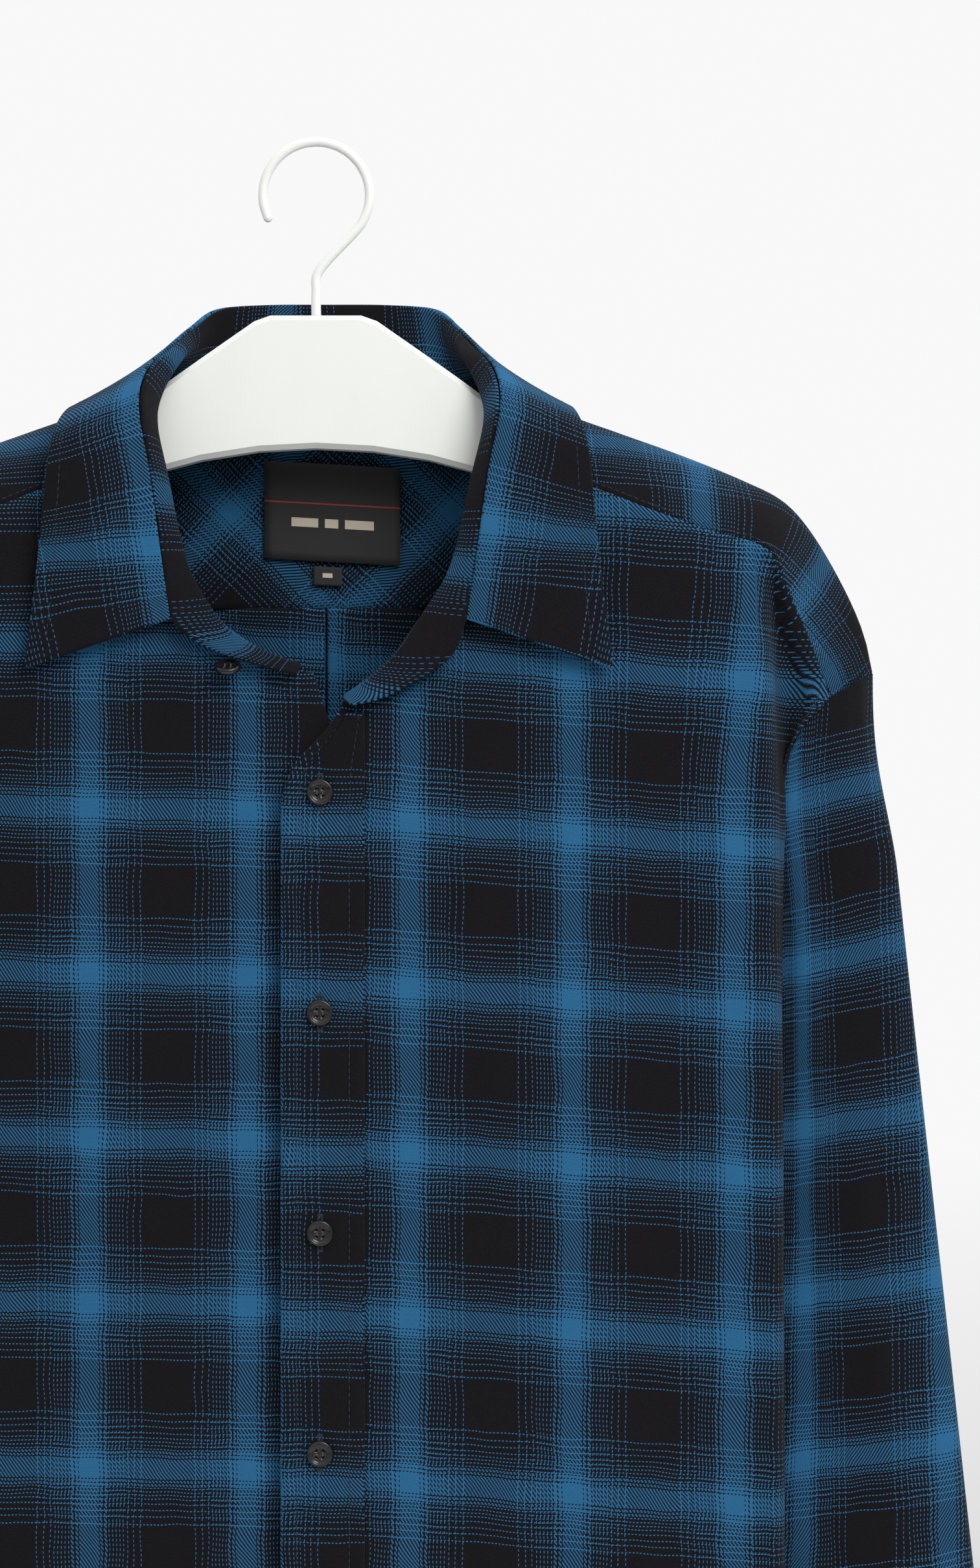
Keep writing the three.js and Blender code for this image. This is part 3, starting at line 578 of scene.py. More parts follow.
def backPiece():
    rows, start = panel["backRows"], shirt["pleatWidth"] + 6
    folds = table("part set layer", (0, 0, 0), (0.5, 0, 0), (1, -1.2, 0), (1, -0.4, 0.15), (1, 0, 0.5),
                  (1, -0.4, 0.85), (1, -1.2, 1), (0.5, 1, 1), (0, 2.2, 1), (0, 1.4, 1.15), (0, 1, 1.5),
                  (0, 1.4, 1.85), (0, 2.2, 2))
    half = flatColumns(backTop, lambda z: start, rows, panel["backFlat"])
    half += gussetColumns(backTop, rows, panel["gusset"])
    grid, uvGrid = [], []
    for row in rowsOf(half):
        z = row[0].z
        closing = panel["pleatEase"] * ease((shirt["yokeBackSeam"] - z) / panel["pleatLong"])
        opened = shirt["pleatWidth"] * (1 - closing)
        pleat = []
        for fold in folds:
            x = fold["part"] * opened + fold["set"]
            pleat.append(Vector((x, fold["layer"] * shirt["pleatStep"] - clothDepth(max(0, x), z), z)))
        sides = {}
        for side in (1, -1):
            flat = []
            for index, point in enumerate(row):
                sunk = 2 * shirt["pleatStep"] * (1 - ease((point.x - start) / panel["pleatSoft"]))
                crease = 0
                if index <= panel["backFlat"]:
                    crease = creaseHeight(backCreases, side, point.x, point.z) * creaseCalm(point, "back")
                flat.append(Vector((point.x, point.y + sunk - crease, point.z)))
            sides[side] = pleat + flat
        patterns = {side: bodyPattern(line, side, 0.0, 1) for side, line in sides.items()}
        left = [placed(p, -1, -1) for p in reversed(sides[-1][1:])]
        grid.append(left + [placed(p, 1, -1) for p in sides[1]])
        uvGrid.append(list(reversed(patterns[-1][1:])) + patterns[1])
    clothShell("back_panel", grid, uvGrid, flannel)


yoke = {"turnX": 165, "neckX": 86, "ease": 1.7, "rows": 60, "columns": 96, "innerX": 74, "innerRows": 40,
        "innerColumns": 60, "innerMiddle": (40.2, 158.8)}


def yokePoint(ridgeX, down):
    seams = frontSeam if down < 0 else backTop
    tip = ridge[-1]["x"]
    seamX = ridgeX - (tip - seams[-1]["x"]) * ease((ridgeX - yoke["turnX"]) / (tip - yoke["turnX"]))
    part = abs(down) ** yoke["ease"]
    x = mix(ridgeX, seamX, part)
    z = mix(read(ridge, "x", ridgeX, "z"), read(seams, "x", seamX, "z"), part)
    return Vector((x, math.copysign(clothDepth(x, z), down), z))


def yokeStart(ridgeX):
    edge = neckline[-1]["x"]
    if ridgeX >= yoke["neckX"]:
        return -1
    if ridgeX > edge:
        return -ease((ridgeX - edge) / (yoke["neckX"] - edge))
    top = read(ridge, "x", ridgeX, "z")
    return ((top - read(neckline, "x", ridgeX, "z")) / (top - shirt["yokeBackSeam"])) ** (1 / yoke["ease"])


def yokeLine(ridgeX, rows):
    return [yokePoint(ridgeX, mix(yokeStart(ridgeX), 1, row / rows)) for row in range(rows + 1)]


yokeBand = {"ridgeX": 162.4, "neckX": 100, "curl": 15, "turn": math.radians(19)}
ridgeLine = [Vector((row["x"], row["z"])) for row in ridge]
ridgeLengths = [{"x": at.x, "u": u} for at, u in zip(ridgeLine, lengthAlong(ridgeLine))]


# place on the yoke's cloth: along the ridge and over it, with the grain turned to the ridge
def yokePattern(point, ridgeX, side):
    start = min(max(ridgeX, yokeBand["neckX"]), ridge[-1]["x"] - 1)
    top = Vector((start, read(ridge, "x", start, "z")))
    ahead = (Vector((start + 1, read(ridge, "x", start + 1, "z"))) - top).normalized()
    drop = Vector((point.x, point.z)) - top
    fall = abs(drop.cross(ahead))
    curl = 1 - min(1, fall / shirt["ridgeRound"])
    forward = -math.copysign(fall + yokeBand["curl"] * math.sqrt(1 - curl * curl), point.y)
    reach = read(ridgeLengths, "x", start, "u") + drop.dot(ahead)
    reach -= read(ridgeLengths, "x", yokeBand["ridgeX"], "u")
    c, s = math.cos(yokeBand["turn"]), math.sin(yokeBand["turn"])
    return side * (reach * c - forward * s), forward * c + reach * s


def yokePiece():
    half = [ridge[-1]["x"] * index / yoke["columns"] for index in range(yoke["columns"] + 1)]
    columns, patterns = [], []
    for side, places in ((-1, reversed(half[1:])), (1, half)):
        for ridgeX in places:
            line = yokeLine(ridgeX, yoke["rows"])
            columns.append([placed(p, side) for p in line])
            patterns.append([yokePattern(p, ridgeX, side) for p in line])
    clothShell("yoke_outer", rowsOf(columns), rowsOf(patterns), flannel)


def innerYokePiece():
    columns, patterns, bias, half = [], [], math.sqrt(0.5), yoke["innerColumns"]
    right, low = yoke["innerMiddle"]
    for index in range(-half, half + 1):
        line = yokeLine(abs(index) * yoke["innerX"] / half, yoke["innerRows"])
        column = [placed(p, 1 if index >= 0 else -1) for p in line]
        columns.append(column)
        grain = [((p.x + right - p.z - low) * bias, (p.x + right + p.z + low) * bias) for p in column]
        patterns.append(grain)
    clothShell("yoke_inner", rowsOf(columns), rowsOf(patterns), flannel, lift=-shirt["wall"] - 0.2)


# stations between the rows of the collar table, on a smooth curve
def station(rows, place, column, side):
    index = min(len(rows) - 2, int(place))
    part = place - index
    a, b, c, d = (Vector(rows[min(len(rows) - 1, max(0, index + k))][column]) for k in (-1, 0, 1, 2))
    if index == 0:
        a = Vector((-c.x, c.y, c.z))
    point = curvePoint(a, b, c, d, part)
    return Vector((middle + side * point.x, point.y, point.z))


collarSteps = 110
standCut = {"across": 16, "thick": 1.6, "grain": 20, "step": 2.3, "start": 6}


# the whole collar from left to right, and the rows of its left and right side alone
def collarGrid(section, count):
    places = [count * step / collarSteps for step in range(collarSteps + 1)]
    right, left = ([section(side, place) for place in places] for side in (1, -1))
    return list(reversed(left[1:])) + right, left, right


def standPiece():
    def section(side, place):
        rows = collar + standEnds[side]
        neck, roll, seam = (station(rows, place, column, side) for column in ("neck", "roll", "seam"))
        middlePoint = roll * 2 - (neck + seam) * 0.5
        steps = standCut["across"]
        return [bezier([neck, middlePoint, seam], k / steps) for k in range(steps + 1)]

    grid, left, _ = collarGrid(section, len(collar) + 2)
    along = lengthAlong([row[8] for row in grid])
    mid = along[len(left) - 1]
    up = [k * standCut["step"] + standCut["start"] for k in range(standCut["across"] + 1)]
    uvGrid = [[(length - mid + standCut["grain"], v) for v in up] for length in along]
    clothShell("collar_stand", grid, uvGrid, flannel, thickness=standCut["thick"])


leafLine = {"across": 26, "bandZ": {1: -169.2, -1: -177.6}, "bandAcross": 3, "measured": 10, "thick": 1.9,
            "off": (1, 2.2), "bulgeAt": 0.35, "bulge": 4, "proud": (-0.8, -2)}
leafRise = table("row z", (0, 3.2), (1, 3.2), (2, 0.5), (3, -3.5), (4, -5), (5, -2.5), (6, 0), (9, 0))


def leafSection(side, place):
    seam, edge = station(collar, place, "seam", side), station(collar, place, "edge", side)
    out = Vector((edge.x - seam.x, edge.y - seam.y, 0)).normalized()
    behind = 1 - ease((place - 4) / 3)
    foot, top = leafLine["proud"]
    seam = seam + out * mix(*leafLine["off"], behind) + Vector((0, foot * (1 - behind), 0))
    lift = Vector((0, top * (1 - behind), read(leafRise, "row", place, "z")))
    bulge = seam.lerp(edge, leafLine["bulgeAt"]) + out * leafLine["bulge"] * behind + lift
    return [bezier([seam, bulge, edge], k / leafLine["across"]) for k in range(leafLine["across"] + 1)]


def leafPiece():
    grid, left, right = collarGrid(leafSection, len(collar) - 1)
    k = leafLine["measured"]
    along = lengthAlong([row[k] for row in grid])
    mid = along[len(left) - 1]
    far = {}
    for side, rows in ((1, right), (-1, left)):
        lengths = lengthAlong([row[k] for row in rows])
        band = leafLine["bandZ"][side]
        far[side] = next(u for u, row in zip(lengths, rows) if row[k].z < band and row[k].y < 0)
    whole = round((far[1] + far[-1]) / plaid["repeat"])
    even = whole * plaid["repeat"] / (far[1] + far[-1])
    uvGrid = [[(w - leafLine["bandAcross"], (length - mid - far[1]) * even) for w in lengthAlong(row)]
              for row, length in zip(grid, along)]
    clothShell("collar_leaf", grid, uvGrid, flannel, thickness=leafLine["thick"])


armhole = table(
    "x y z", (241.5, 0, -232), (236, 8, -235), (229, 12.5, -239), (222, 14, -243), (210, 14.5, -256),
    (203, 13.5, -270), (192, 9, -300), (168, 6, -350), (139, 0, -420))
sleeveCreases = table(
    "side face lens z wide tall height",
    (1, -1, 0.62, -330, 0.05, 90, 2.2), (1, -1, 0.5, -430, 0.07, 120, -1.8),
    (1, -1, 0.75, -520, 0.06, 130, 1.6), (1, -1, 0.4, -640, 0.07, 110, 2.0),
    (1, 1, 0.55, -420, 0.06, 150, 2.0), (1, 1, 0.7, -600, 0.07, 120, -1.8),
    (-1, -1, 0.55, -350, 0.06, 110, 2.0), (-1, -1, 0.7, -470, 0.06, 110, -1.6),
    (-1, -1, 0.45, -600, 0.07, 140, 1.9), (-1, 1, 0.6, -500, 0.06, 140, 2.0),
)
sleeve = {"innerX": 139, "outerX": 241.5, "steps": 120, "seats": 44, "start": 0.0008, "rate": 1.05,
          "slim": 0.15, "slimFrom": 640, "slimOver": 120}
sleeveSeats = [8 * k / sleeve["seats"] for k in range(sleeve["seats"] + 1)]


# half the sleeve's thickness: a lens from the inner fold to the outer one, flatter inside near the cuff
def sleeveDepth(z, lens):
    slim = mix(sleeve["slim"], 1, ease((-z - sleeve["slimFrom"]) / sleeve["slimOver"]))
    swell = math.sin(math.acos(min(1, max(-1, 2 * lens - 1))))
    return read(sleeveTrack, "z", z, "depth") * swell * mix(slim, 1, lens)


def sleevePoint(side, face, seat, part):
    at = [Vector((row["x"], row["y"], row["z"])) for row in armhole]
    index = min(len(at) - 2, int(seat))
    base = at[index].lerp(at[index + 1], seat - index)
    z = mix(base.z, shirt["cuffTop"], part)
    lens = (base.x - sleeve["innerX"]) / (sleeve["outerX"] - sleeve["innerX"])
    inner, outer = read(sleeveTrack, "z", z, "inner"), read(sleeveTrack, "z", z, "outer")
    settle = ease(part / mix(0.07, 0.16, lens))
    y = mix(base.y, sleeveDepth(z, lens), settle)
    x = mix(base.x + 0.2 * lens, mix(inner, outer, lens), settle)
    for crease in sleeveCreases:
        if crease["side"] == side and crease["face"] == face:
            down, across = (z - crease["z"]) / crease["tall"], (lens - crease["lens"]) / crease["wide"]
            if abs(down) < 1:
                y += crease["height"] * math.exp(-across * across) * (1 - down * down) ** 2 * ease(part / 0.1)
    return Vector((middle + side * x, face * y, z))


sleeveBand = {"grain": 58, "lean": 0.085, "leanZ": 320, "z": 284.1, "x": 223.5, "rise": (0.25, 0.12),
              "fall": 0.96}


def sleevePattern(point, side, u):
    x = side * (point.x - middle)
    rise = mix(*sleeveBand["rise"], ease((-point.z - 285) / 220))
    grain = sleeveBand["grain"] + sleeveBand["lean"] * (-point.z - sleeveBand["leanZ"])
    return u - grain, (-point.z - sleeveBand["z"] + rise * (x - sleeveBand["x"])) * sleeveBand["fall"]


def sleevePiece(side):
    grid, uvGrid = [], []
    for step in range(sleeve["steps"] + 1):
        part = sleeve["start"] + (1 - sleeve["start"]) * (step / sleeve["steps"]) ** sleeve["rate"]
        frontLine, backLine = ([sleevePoint(side, face, seat, part) for seat in sleeveSeats]
                               for face in (-1, 1))
        frontUv = [sleevePattern(p, side, u) for p, u in zip(frontLine, lengthAlong(frontLine))]
        backUv = [sleevePattern(p, side, -u) for p, u in zip(backLine, lengthAlong(backLine))]
        grid.append(frontLine + list(reversed(backLine[1:-1])))
        uvGrid.append(frontUv + list(reversed(backUv[1:-1])))
    clothShell(sided("sleeve", side), grid, uvGrid, flannel, closed=True)


cuff = {"steps": 16, "flare": 5, "thick": 2.0, "grainZ": 784, "grain": 30}


def cuffPiece(side):
    grid, uvGrid = [], []
    ring = [sleevePoint(side, -1, seat, 1) for seat in sleeveSeats]
    ring += [sleevePoint(side, 1, seat, 1) for seat in reversed(sleeveSeats[1:-1])]
    along = lengthAlong(ring)
    for step in range(cuff["steps"] + 1):
        part = step / cuff["steps"]
        z = shirt["cuffTop"] - shirt["seamGap"] - part * shirt["cuffHeight"]
        grid.append([Vector((p.x + side * part * cuff["flare"], p.y, z)) for p in ring])
        uvGrid.append([(-z - cuff["grainZ"], u - cuff["grain"]) for u in along])
    clothShell(sided("cuff", side), grid, uvGrid, flannel, closed=True, thickness=cuff["thick"])


sleeveSlit = {"long": 130, "top": 222, "bottom": 238, "width": 24, "rows": 40, "across": 8, "thick": 1.2,
              "proud": 0.5, "grain": 14, "step": 3, "grainZ": 620}


def sleevePlacketPiece(side):
    grid, uvGrid = [], []
    for row in range(sleeveSlit["rows"] + 1):
        line, part = [], row / sleeveSlit["rows"]
        for k in range(sleeveSlit["across"] + 1):
            z = mix(shirt["cuffTop"] + sleeveSlit["long"], shirt["cuffTop"] + 1, part)
            x = mix(sleeveSlit["top"], sleeveSlit["bottom"], part)
            x += k / sleeveSlit["across"] * sleeveSlit["width"]
            inner, outer = read(sleeveTrack, "z", z, "inner"), read(sleeveTrack, "z", z, "outer")
            y = sleeveDepth(z, (x - inner) / (outer - inner))
            line.append(Vector((middle + side * x, y + shirt["wall"] + sleeveSlit["proud"], z)))
        grid.append(line)
        grain, step = sleeveSlit["grain"], sleeveSlit["step"]
        uvGrid.append([(k * step + grain, -p.z - sleeveSlit["grainZ"]) for k, p in enumerate(line)])
    clothShell(sided("sleeve_placket", side), grid, uvGrid, flannel, thickness=sleeveSlit["thick"])


placket = {"edge": -12.9, "width": 35, "top": -251, "band": 49.8, "bandZ": -298.2, "bandLean": 0.02,
           "swell": 0.2, "groove": 0.45, "fold": 0.7, "rows": 130, "across": 16, "rate": 1.1, "thick": 2.1,
           "lift": -0.1, "proud": 0.2}


def placketPiece():
    rows, across, grid, uvGrid = placket["rows"], placket["across"], [], []
    inner = placket["edge"] + placket["width"]
    for row in range(rows + 1):
        z = mix(placket["top"], shirt["hemCentre"] + 0.4, (row / rows) ** placket["rate"])
        outer = middle + read(frontEdges[1], "z", z, "x")
        line = []
        for k in range(across + 1):
            part = k / across
            x = mix(outer, inner, part)
            near = min(k, across - k)
            swell = placket["swell"] * math.sin(math.pi * part) - (placket["groove"] if near == 3 else 0)
            swell += placket["fold"] if k in (1, 2) else 0
            y = -clothDepth(0, z) - shirt["overlapStep"] - shirt["wall"] - placket["proud"] - swell
            line.append(Vector((x, y, z)))
        grid.append(line)
        sunk = [(-p.z + placket["bandZ"] - placket["bandLean"] * p.x) * plaid["fall"] for p in line]
        uvGrid.append([(p.x - placket["band"], v) for p, v in zip(line, sunk)])
    clothShell("placket_left", grid, uvGrid, flannel, thickness=placket["thick"], lift=placket["lift"])


for side in (1, -1):
    frontPiece(side)
backPiece()
yokePiece()
innerYokePiece()
print("body pieces made")
standPiece()
leafPiece()
placketPiece()
print("collar and placket made")
for side in (1, -1):
    sleevePiece(side)
    cuffPiece(side)
    sleevePlacketPiece(side)
print("sleeves made")


# smooth white paint on the board and the wire
def paintMaterial(name, colour, roughness):
    shade = Shade(name, Roughness=roughness, Coat_Weight=0.15)
    place = shade.add("ShaderNodeTexCoord")[3]
    cloud = shade.noise(place, 40.0, 3.0)
    grain = shade.noise(place, 900.0, 2.0)
    darker = tuple(value * 0.94 for value in colour)
    shade.to("Base Color", shade.blend(cloud, colour, darker))
    shade.to("Roughness", cloud * 0.12 + (roughness - 0.06))
    shade.bump(grain, 0.08, 0.0001)
    return shade.material


boardPaint = paintMaterial("whiteBoardPaint", (0.83, 0.84, 0.80), 0.42)
wirePaint = paintMaterial("whiteWireCoat", (0.86, 0.87, 0.84), 0.3)


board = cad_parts["hanger_board"]
board.data.materials.clear()
board.data.materials.append(boardPaint)
hook = {"wire": 2.1, "radius": 23.5, "seat": -74.7, "sides": 20, "from": -44, "to": 205}


def hookPiece():
    centre = Vector((0, 0, hook["wire"] - hook["radius"]))
    route = [Vector((0, 0, hook["seat"])), Vector((0, 0, -64)), Vector((1.5, 0, -54.5))]
    for step in range(17):
        angle = math.radians(mix(hook["from"], hook["to"], step / 16))
        route.append(centre + hook["radius"] * Vector((math.cos(angle), 0, math.sin(angle))))
    line = []
    for index in range(len(route) - 1):
        a, b, c, d = (route[min(len(route) - 1, max(0, index + k))] for k in (-1, 0, 1, 2))
        for k in range(6):
            line.append(curvePoint(a, b, c, d, k / 6))
    line.append(route[-1])
    sides, points, faces = hook["sides"], [], []

    def ring(centre, ahead, radius):
        across = ahead.cross(Vector((0, 1, 0))).normalized()
        for k in range(sides):
            turn = 2 * math.pi * k / sides
            points.append(centre + radius * (across * math.cos(turn) + Vector((0, 1, 0)) * math.sin(turn)))

    for index, point in enumerate(line):
        ahead = (line[min(len(line) - 1, index + 1)] - line[max(0, index - 1)]).normalized()
        ring(point, ahead, hook["wire"])
    ahead = (line[-1] - line[-2]).normalized()
    for cap in range(1, 5):  # rounded free end
        bend = math.pi / 2 * cap / 4
        tip = line[-1] + ahead * hook["wire"] * math.sin(bend)
        ring(tip, ahead, max(0.05, hook["wire"] * math.cos(bend)))
    rings = len(points) // sides
    for level in range(rings - 1):
        for k in range(sides):
            a, b = level * sides + k, level * sides + (k + 1) % sides
            faces.append((a, b, b + sides, a + sides))
    faces.append(tuple(range(sides)))
    faces.append(tuple(range((rings - 1) * sides, rings * sides)))
    makeMesh("hookWire", points, faces, None, wirePaint, "hanger_hook")


hookPiece()
print("hanger made")

# woven labels with plain bars
labelLook = {"ground": (0.006, 0.006, 0.007), "bar": (0.52, 0.46, 0.36), "line": (0.30, 0.02, 0.02),
             "rib": 0.35, "thick": 0.8, "rows": 12, "across": 16}


def labelMaterial(name, bars):
    shade = Shade(name, Roughness=0.7, Sheen_Weight=0.1)
    spot = shade.add("ShaderNodeUVMap", {"uv_map": "pattern"})[0]
    u, v, _ = shade.add("ShaderNodeSeparateXYZ", {}, {0: spot})
    colour = labelLook["ground"]
    for low, high, left, right, tint in bars:
        inside = (v > low) * (v < high) * (u > left) * (u < right)
        colour = shade.blend(inside, colour, tint)
    ribs = v / labelLook["rib"]
    rib = abs(ribs - ribs.floor() - 0.5)
    shade.to("Base Color", colour)
    shade.bump(rib, 0.4, 0.0001)
    return shade.material


def labelPiece(name, node, left, right, top, bottom, tilt, material):
    grid, uvGrid, rows, across = [], [], labelLook["rows"], labelLook["across"]
    for row in range(rows + 1):
        line = []
        for k in range(across + 1):
            x, z = mix(left, right, k / across), mix(top, bottom, row / rows) - tilt * k / across
            outside = clothDepth(abs(x - middle), z)
            depth = outside - 2 * shirt["wall"] - 2 * shirt["seamGap"] - labelLook["thick"]
            line.append(Vector((x, depth, z)))
        grid.append(line)
        uvGrid.append([(p.x - left, row / rows * (top - bottom)) for p in line])
    clothShell(node, grid, uvGrid, material, thickness=labelLook["thick"], name=name)


mainBars = [(17.5, 18.1, 0, 61, labelLook["line"])]
mainBars += [(24.5, 28.5, left, right, labelLook["bar"]) for left, right in ((12, 24), (27, 33), (36, 49))]
labelPiece("mainLabel", "label_main", -24.5, 36, -136, -179.5, 3.4, labelMaterial("mainLabelWeave", mainBars))
tabBars = [(2.6, 4.6, 4, 8.4, labelLook["bar"])]
labelPiece("sizeTab", "label_size", -2.5, 10, -183.5, -191.5, 0.6, labelMaterial("sizeTabWeave", tabBars))
print("labels made")

# polished four-hole buttons with a raised rim
buttonLook = {"radius": 5.7, "thick": 2.6, "well": 2.95, "sunk": 0.95, "hole": 0.72, "holeApart": 1.25,
              "threadDeep": 0.85, "threadApart": 0.16, "colour": (0.004, 0.004, 0.0045)}


def buttonMaterial():
    shade = Shade("blackHornResin", Roughness=0.22, Coat_Weight=0.4, Coat_Roughness=0.08,
                  Specular_IOR_Level=0.3)
    place = shade.add("ShaderNodeTexCoord")[3]
    cloud = shade.noise(place, 260.0, 3.0)
    shade.to("Base Color", shade.blend(cloud, buttonLook["colour"], (0.010, 0.010, 0.011)))
    shade.to("Roughness", cloud * 0.16 + 0.16)
    return shade.material


blackResin = buttonMaterial()


def buttonMesh():
    bm = bmesh.new()
    sides, half, well = 64, buttonLook["thick"] / 2, buttonLook["well"]
    radius, bottom = buttonLook["radius"], half - buttonLook["sunk"]
    profile = [(well, -half), (radius - 0.9, -half), (radius - 0.35, -half + 0.2), (radius, -half + 0.8),
               (radius, half - 0.9), (radius - 0.2, half - 0.35), (radius - 0.6, half), (radius - 1.1, half),
               (radius - 1.5, half - 0.3), (radius - 1.9, half - 0.85), (well, bottom)]

    def ringOf(places, h):
        return [bm.verts.new((x, -h, y)) for x, y in places]

    def round2d(angles):
        return [Vector((math.cos(a), math.sin(a))) for a in angles]

    def band(first, second):
        for k in range(len(first)):
            n = (k + 1) % len(first)
            bm.faces.new((first[k], first[n], second[n], second[k]))

    turns = [2 * math.pi * k / sides for k in range(sides)]
    rings = [ringOf([(r * math.cos(turn), r * math.sin(turn)) for turn in turns], h) for r, h in profile]
    for first, second in zip(rings, rings[1:]):
        band(first, second)
    apart, steps = buttonLook["holeApart"], 16
    for quarter in range(4):
        turn = math.pi / 2 * quarter
        hole = round2d([turn + math.pi / 4])[0] * apart * math.sqrt(2)
        edge = round2d([turn + math.pi / 2 * k / steps for k in range(steps + 1)])
        outer = [Vector((0, 0))] + [p * well for p in edge]
        angles = [math.atan2((p - hole).y, (p - hole).x) for p in outer]
        inner = [hole + p * buttonLook["hole"] for p in round2d(angles)]
        lips = []
        for h in (-half, bottom):
            rim, lip = ringOf(outer, h), ringOf(inner, h)
            band(rim, lip)
            lips.append(lip)
        band(*lips)
    bmesh.ops.remove_doubles(bm, verts=bm.verts, dist=0.001)
    bmesh.ops.recalc_face_normals(bm, faces=bm.faces)
    points = [v.co.copy() for v in bm.verts]
    bm.verts.index_update()
    faces = [tuple(v.index for v in f.verts) for f in bm.faces]
    bm.free()
    return points, faces


buttonPoints, buttonFaces = buttonMesh()


def threadMaterial(name, colour):
    shade = Shade(name, Roughness=0.75)
    place = shade.add("ShaderNodeTexCoord")[3]
    ply = shade.add("ShaderNodeTexWave", {"bands_direction": "DIAGONAL"},
                    {"Vector": place, "Scale": 1400.0})[1]
    shade.to("Base Color", shade.blend(ply, colour, tuple(value * 0.55 for value in colour)))
    return shade.material


buttonThread = threadMaterial("buttonThread", (0.10, 0.075, 0.05))
seamThread = threadMaterial("seamThread", (0.014, 0.026, 0.038))


# small pads of thread: each is a soft capsule from one point to another, raised along a normal
def threadPads(name, runs, width, material, high=0.6):
    points, faces = [], []
    ringAt = [(0.0, 0.25), (0.18, 0.8), (0.5, 1.0), (0.82, 0.8), (1.0, 0.25)]
    for start, end, normal in runs:
        ahead = (end - start).normalized()
        side = ahead.cross(normal).normalized()
        base = len(points)
        for part, swell in ringAt:
            centre = start.lerp(end, part) + normal * width * high * 0.35 * swell
            for k in range(6):
                turn = math.pi * k / 3
                around = side * math.cos(turn) + normal * math.sin(turn) * high
                points.append(centre + width / 2 * swell * around)
        for ring in range(4):
            for k in range(6):
                a, b = base + ring * 6 + k, base + ring * 6 + (k + 1) % 6
                faces.append((a, b, b + 6, a + 6))
        faces.append(tuple(range(base, base + 6)))
        faces.append(tuple(range(base + 24, base + 30)))
    return makeMesh(name, points, faces, None, material)


def buttonPiece(node):
    low, high = (Vector(corner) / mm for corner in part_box(node))
    centre = (low + high) / 2
    facing = -1 if node.startswith(("button_front", "button_stand")) else 1
    tilt = 1.05 if node == "button_stand" else 0

    def seat(point):
        x, y, z = point
        y, z = -facing * y, -facing * z
        c, s = math.cos(tilt), math.sin(tilt)
        return centre + Vector((x, y * c + z * s, z * c - y * s))

    name = pieceName(node)
    makeMesh(name, [seat(p) for p in buttonPoints], buttonFaces, None, blackResin, node)
    apart, face = buttonLook["holeApart"], buttonLook["threadDeep"] - buttonLook["thick"] / 2
    outward = (seat((0, -1, 0)) - seat((0, 0, 0))).normalized()
    runs = []
    for x in (-apart, apart):
        for shift in (-buttonLook["threadApart"], buttonLook["threadApart"]):
            runs.append((seat((x + shift, face, -apart)), seat((x + shift, face, apart)), outward))
    threadPads(name + "Thread", runs, 0.34, buttonThread)


buttonNodes = sorted(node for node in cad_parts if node.startswith("button_"))
for node in buttonNodes:
    buttonPiece(node)
print("buttons made", len(buttonNodes))

# rows of stitches sunk into the faces, each a run of separate pads
sewing = {"pitch": 3.1, "stitch": 2.2, "width": 0.42, "sink": 0.05}


def stitchRow(host, places, face, name):
    line = [onShell(host, row, column, face) for row, column in places]
    lengths = lengthAlong([point for point, _ in line])
    runs, at, index = [], 0.6, 0

    def pointAt(length):
        nonlocal index
        while index < len(lengths) - 2 and lengths[index + 1] < length:
            index += 1
        part = (length - lengths[index]) / max(0.001, lengths[index + 1] - lengths[index])
        (a, normalA), (b, normalB) = line[index], line[index + 1]
        return a.lerp(b, part) - normalA * sewing["sink"], normalA.lerp(normalB, part).normalized()

    while at + sewing["stitch"] < lengths[-1]:
        (first, normal), (second, _) = pointAt(at), pointAt(at + sewing["stitch"])
        runs.append((first, second, normal))
        at += sewing["pitch"]
    if runs:
        shells[host]["trims"].append(threadPads(name, runs, sewing["width"], seamThread))


def down(column, first, last, step=1.0):
    return [(first + k * step, column) for k in range(int((last - first) / step) + 1)]


def across(row, first, last, step=1.0):
    return [(row, first + k * step) for k in range(int((last - first) / step) + 1)]


def underarmRow(name):
    return next(r for r, row in enumerate(shells[name]["grid"]) if row[-1].z < shirt["underarm"])


for column in (2.74, 13.26):
    stitchRow("placketLeft", down(column, 0, 130), -1, "placketStitch" + str(int(column)))
last = len(shells["collarLeaf"]["grid"]) - 4.5
stitchRow("collarLeaf", [(3.5, 2.0), (3.5, 23.3)] + down(23.3, 3.5, last) + [(last, 2.0)], -1, "leafStitch")
for name, face in (("frontLeft", -1), ("frontRight", 1)):
    under = underarmRow(name)
    stitchRow(name, across(126.7, 1, 88), face, name + "HemStitch")
    stitchRow(name, down(86.5, 1, under), face, name + "ArmholeStitch")
    stitchRow(name, down(89.3, under, 127), face, name + "SideStitch")
wide, under = len(shells["backPanel"]["grid"][0]), underarmRow("backPanel")
stitchRow("backPanel", across(118.7, 1, wide - 2), 1, "backHemStitch")
for column in (3.5, wide - 4.5):
    stitchRow("backPanel", down(column, 1, under), 1, "backArmholeStitch" + str(int(column)))
stitchRow("yokeOuter", across(58.6, 1, 191), 1, "yokeBackStitch")
for first, last in ((2, 60), (132, 190)):
    stitchRow("yokeOuter", across(1.2, first, last), 1, "yokeFrontStitch" + str(first))
for column in (1.6, 190.4):
    stitchRow("yokeOuter", down(column, 0.5, 59.5), 1, "yokeCapStitch" + str(int(column)))
for name, face in (("cuffLeft", 1), ("cuffRight", -1)):
    for row in (1.5, 14.5):
        stitchRow(name, across(row, 0, 87.9), face, name + "Stitch" + str(int(row)))
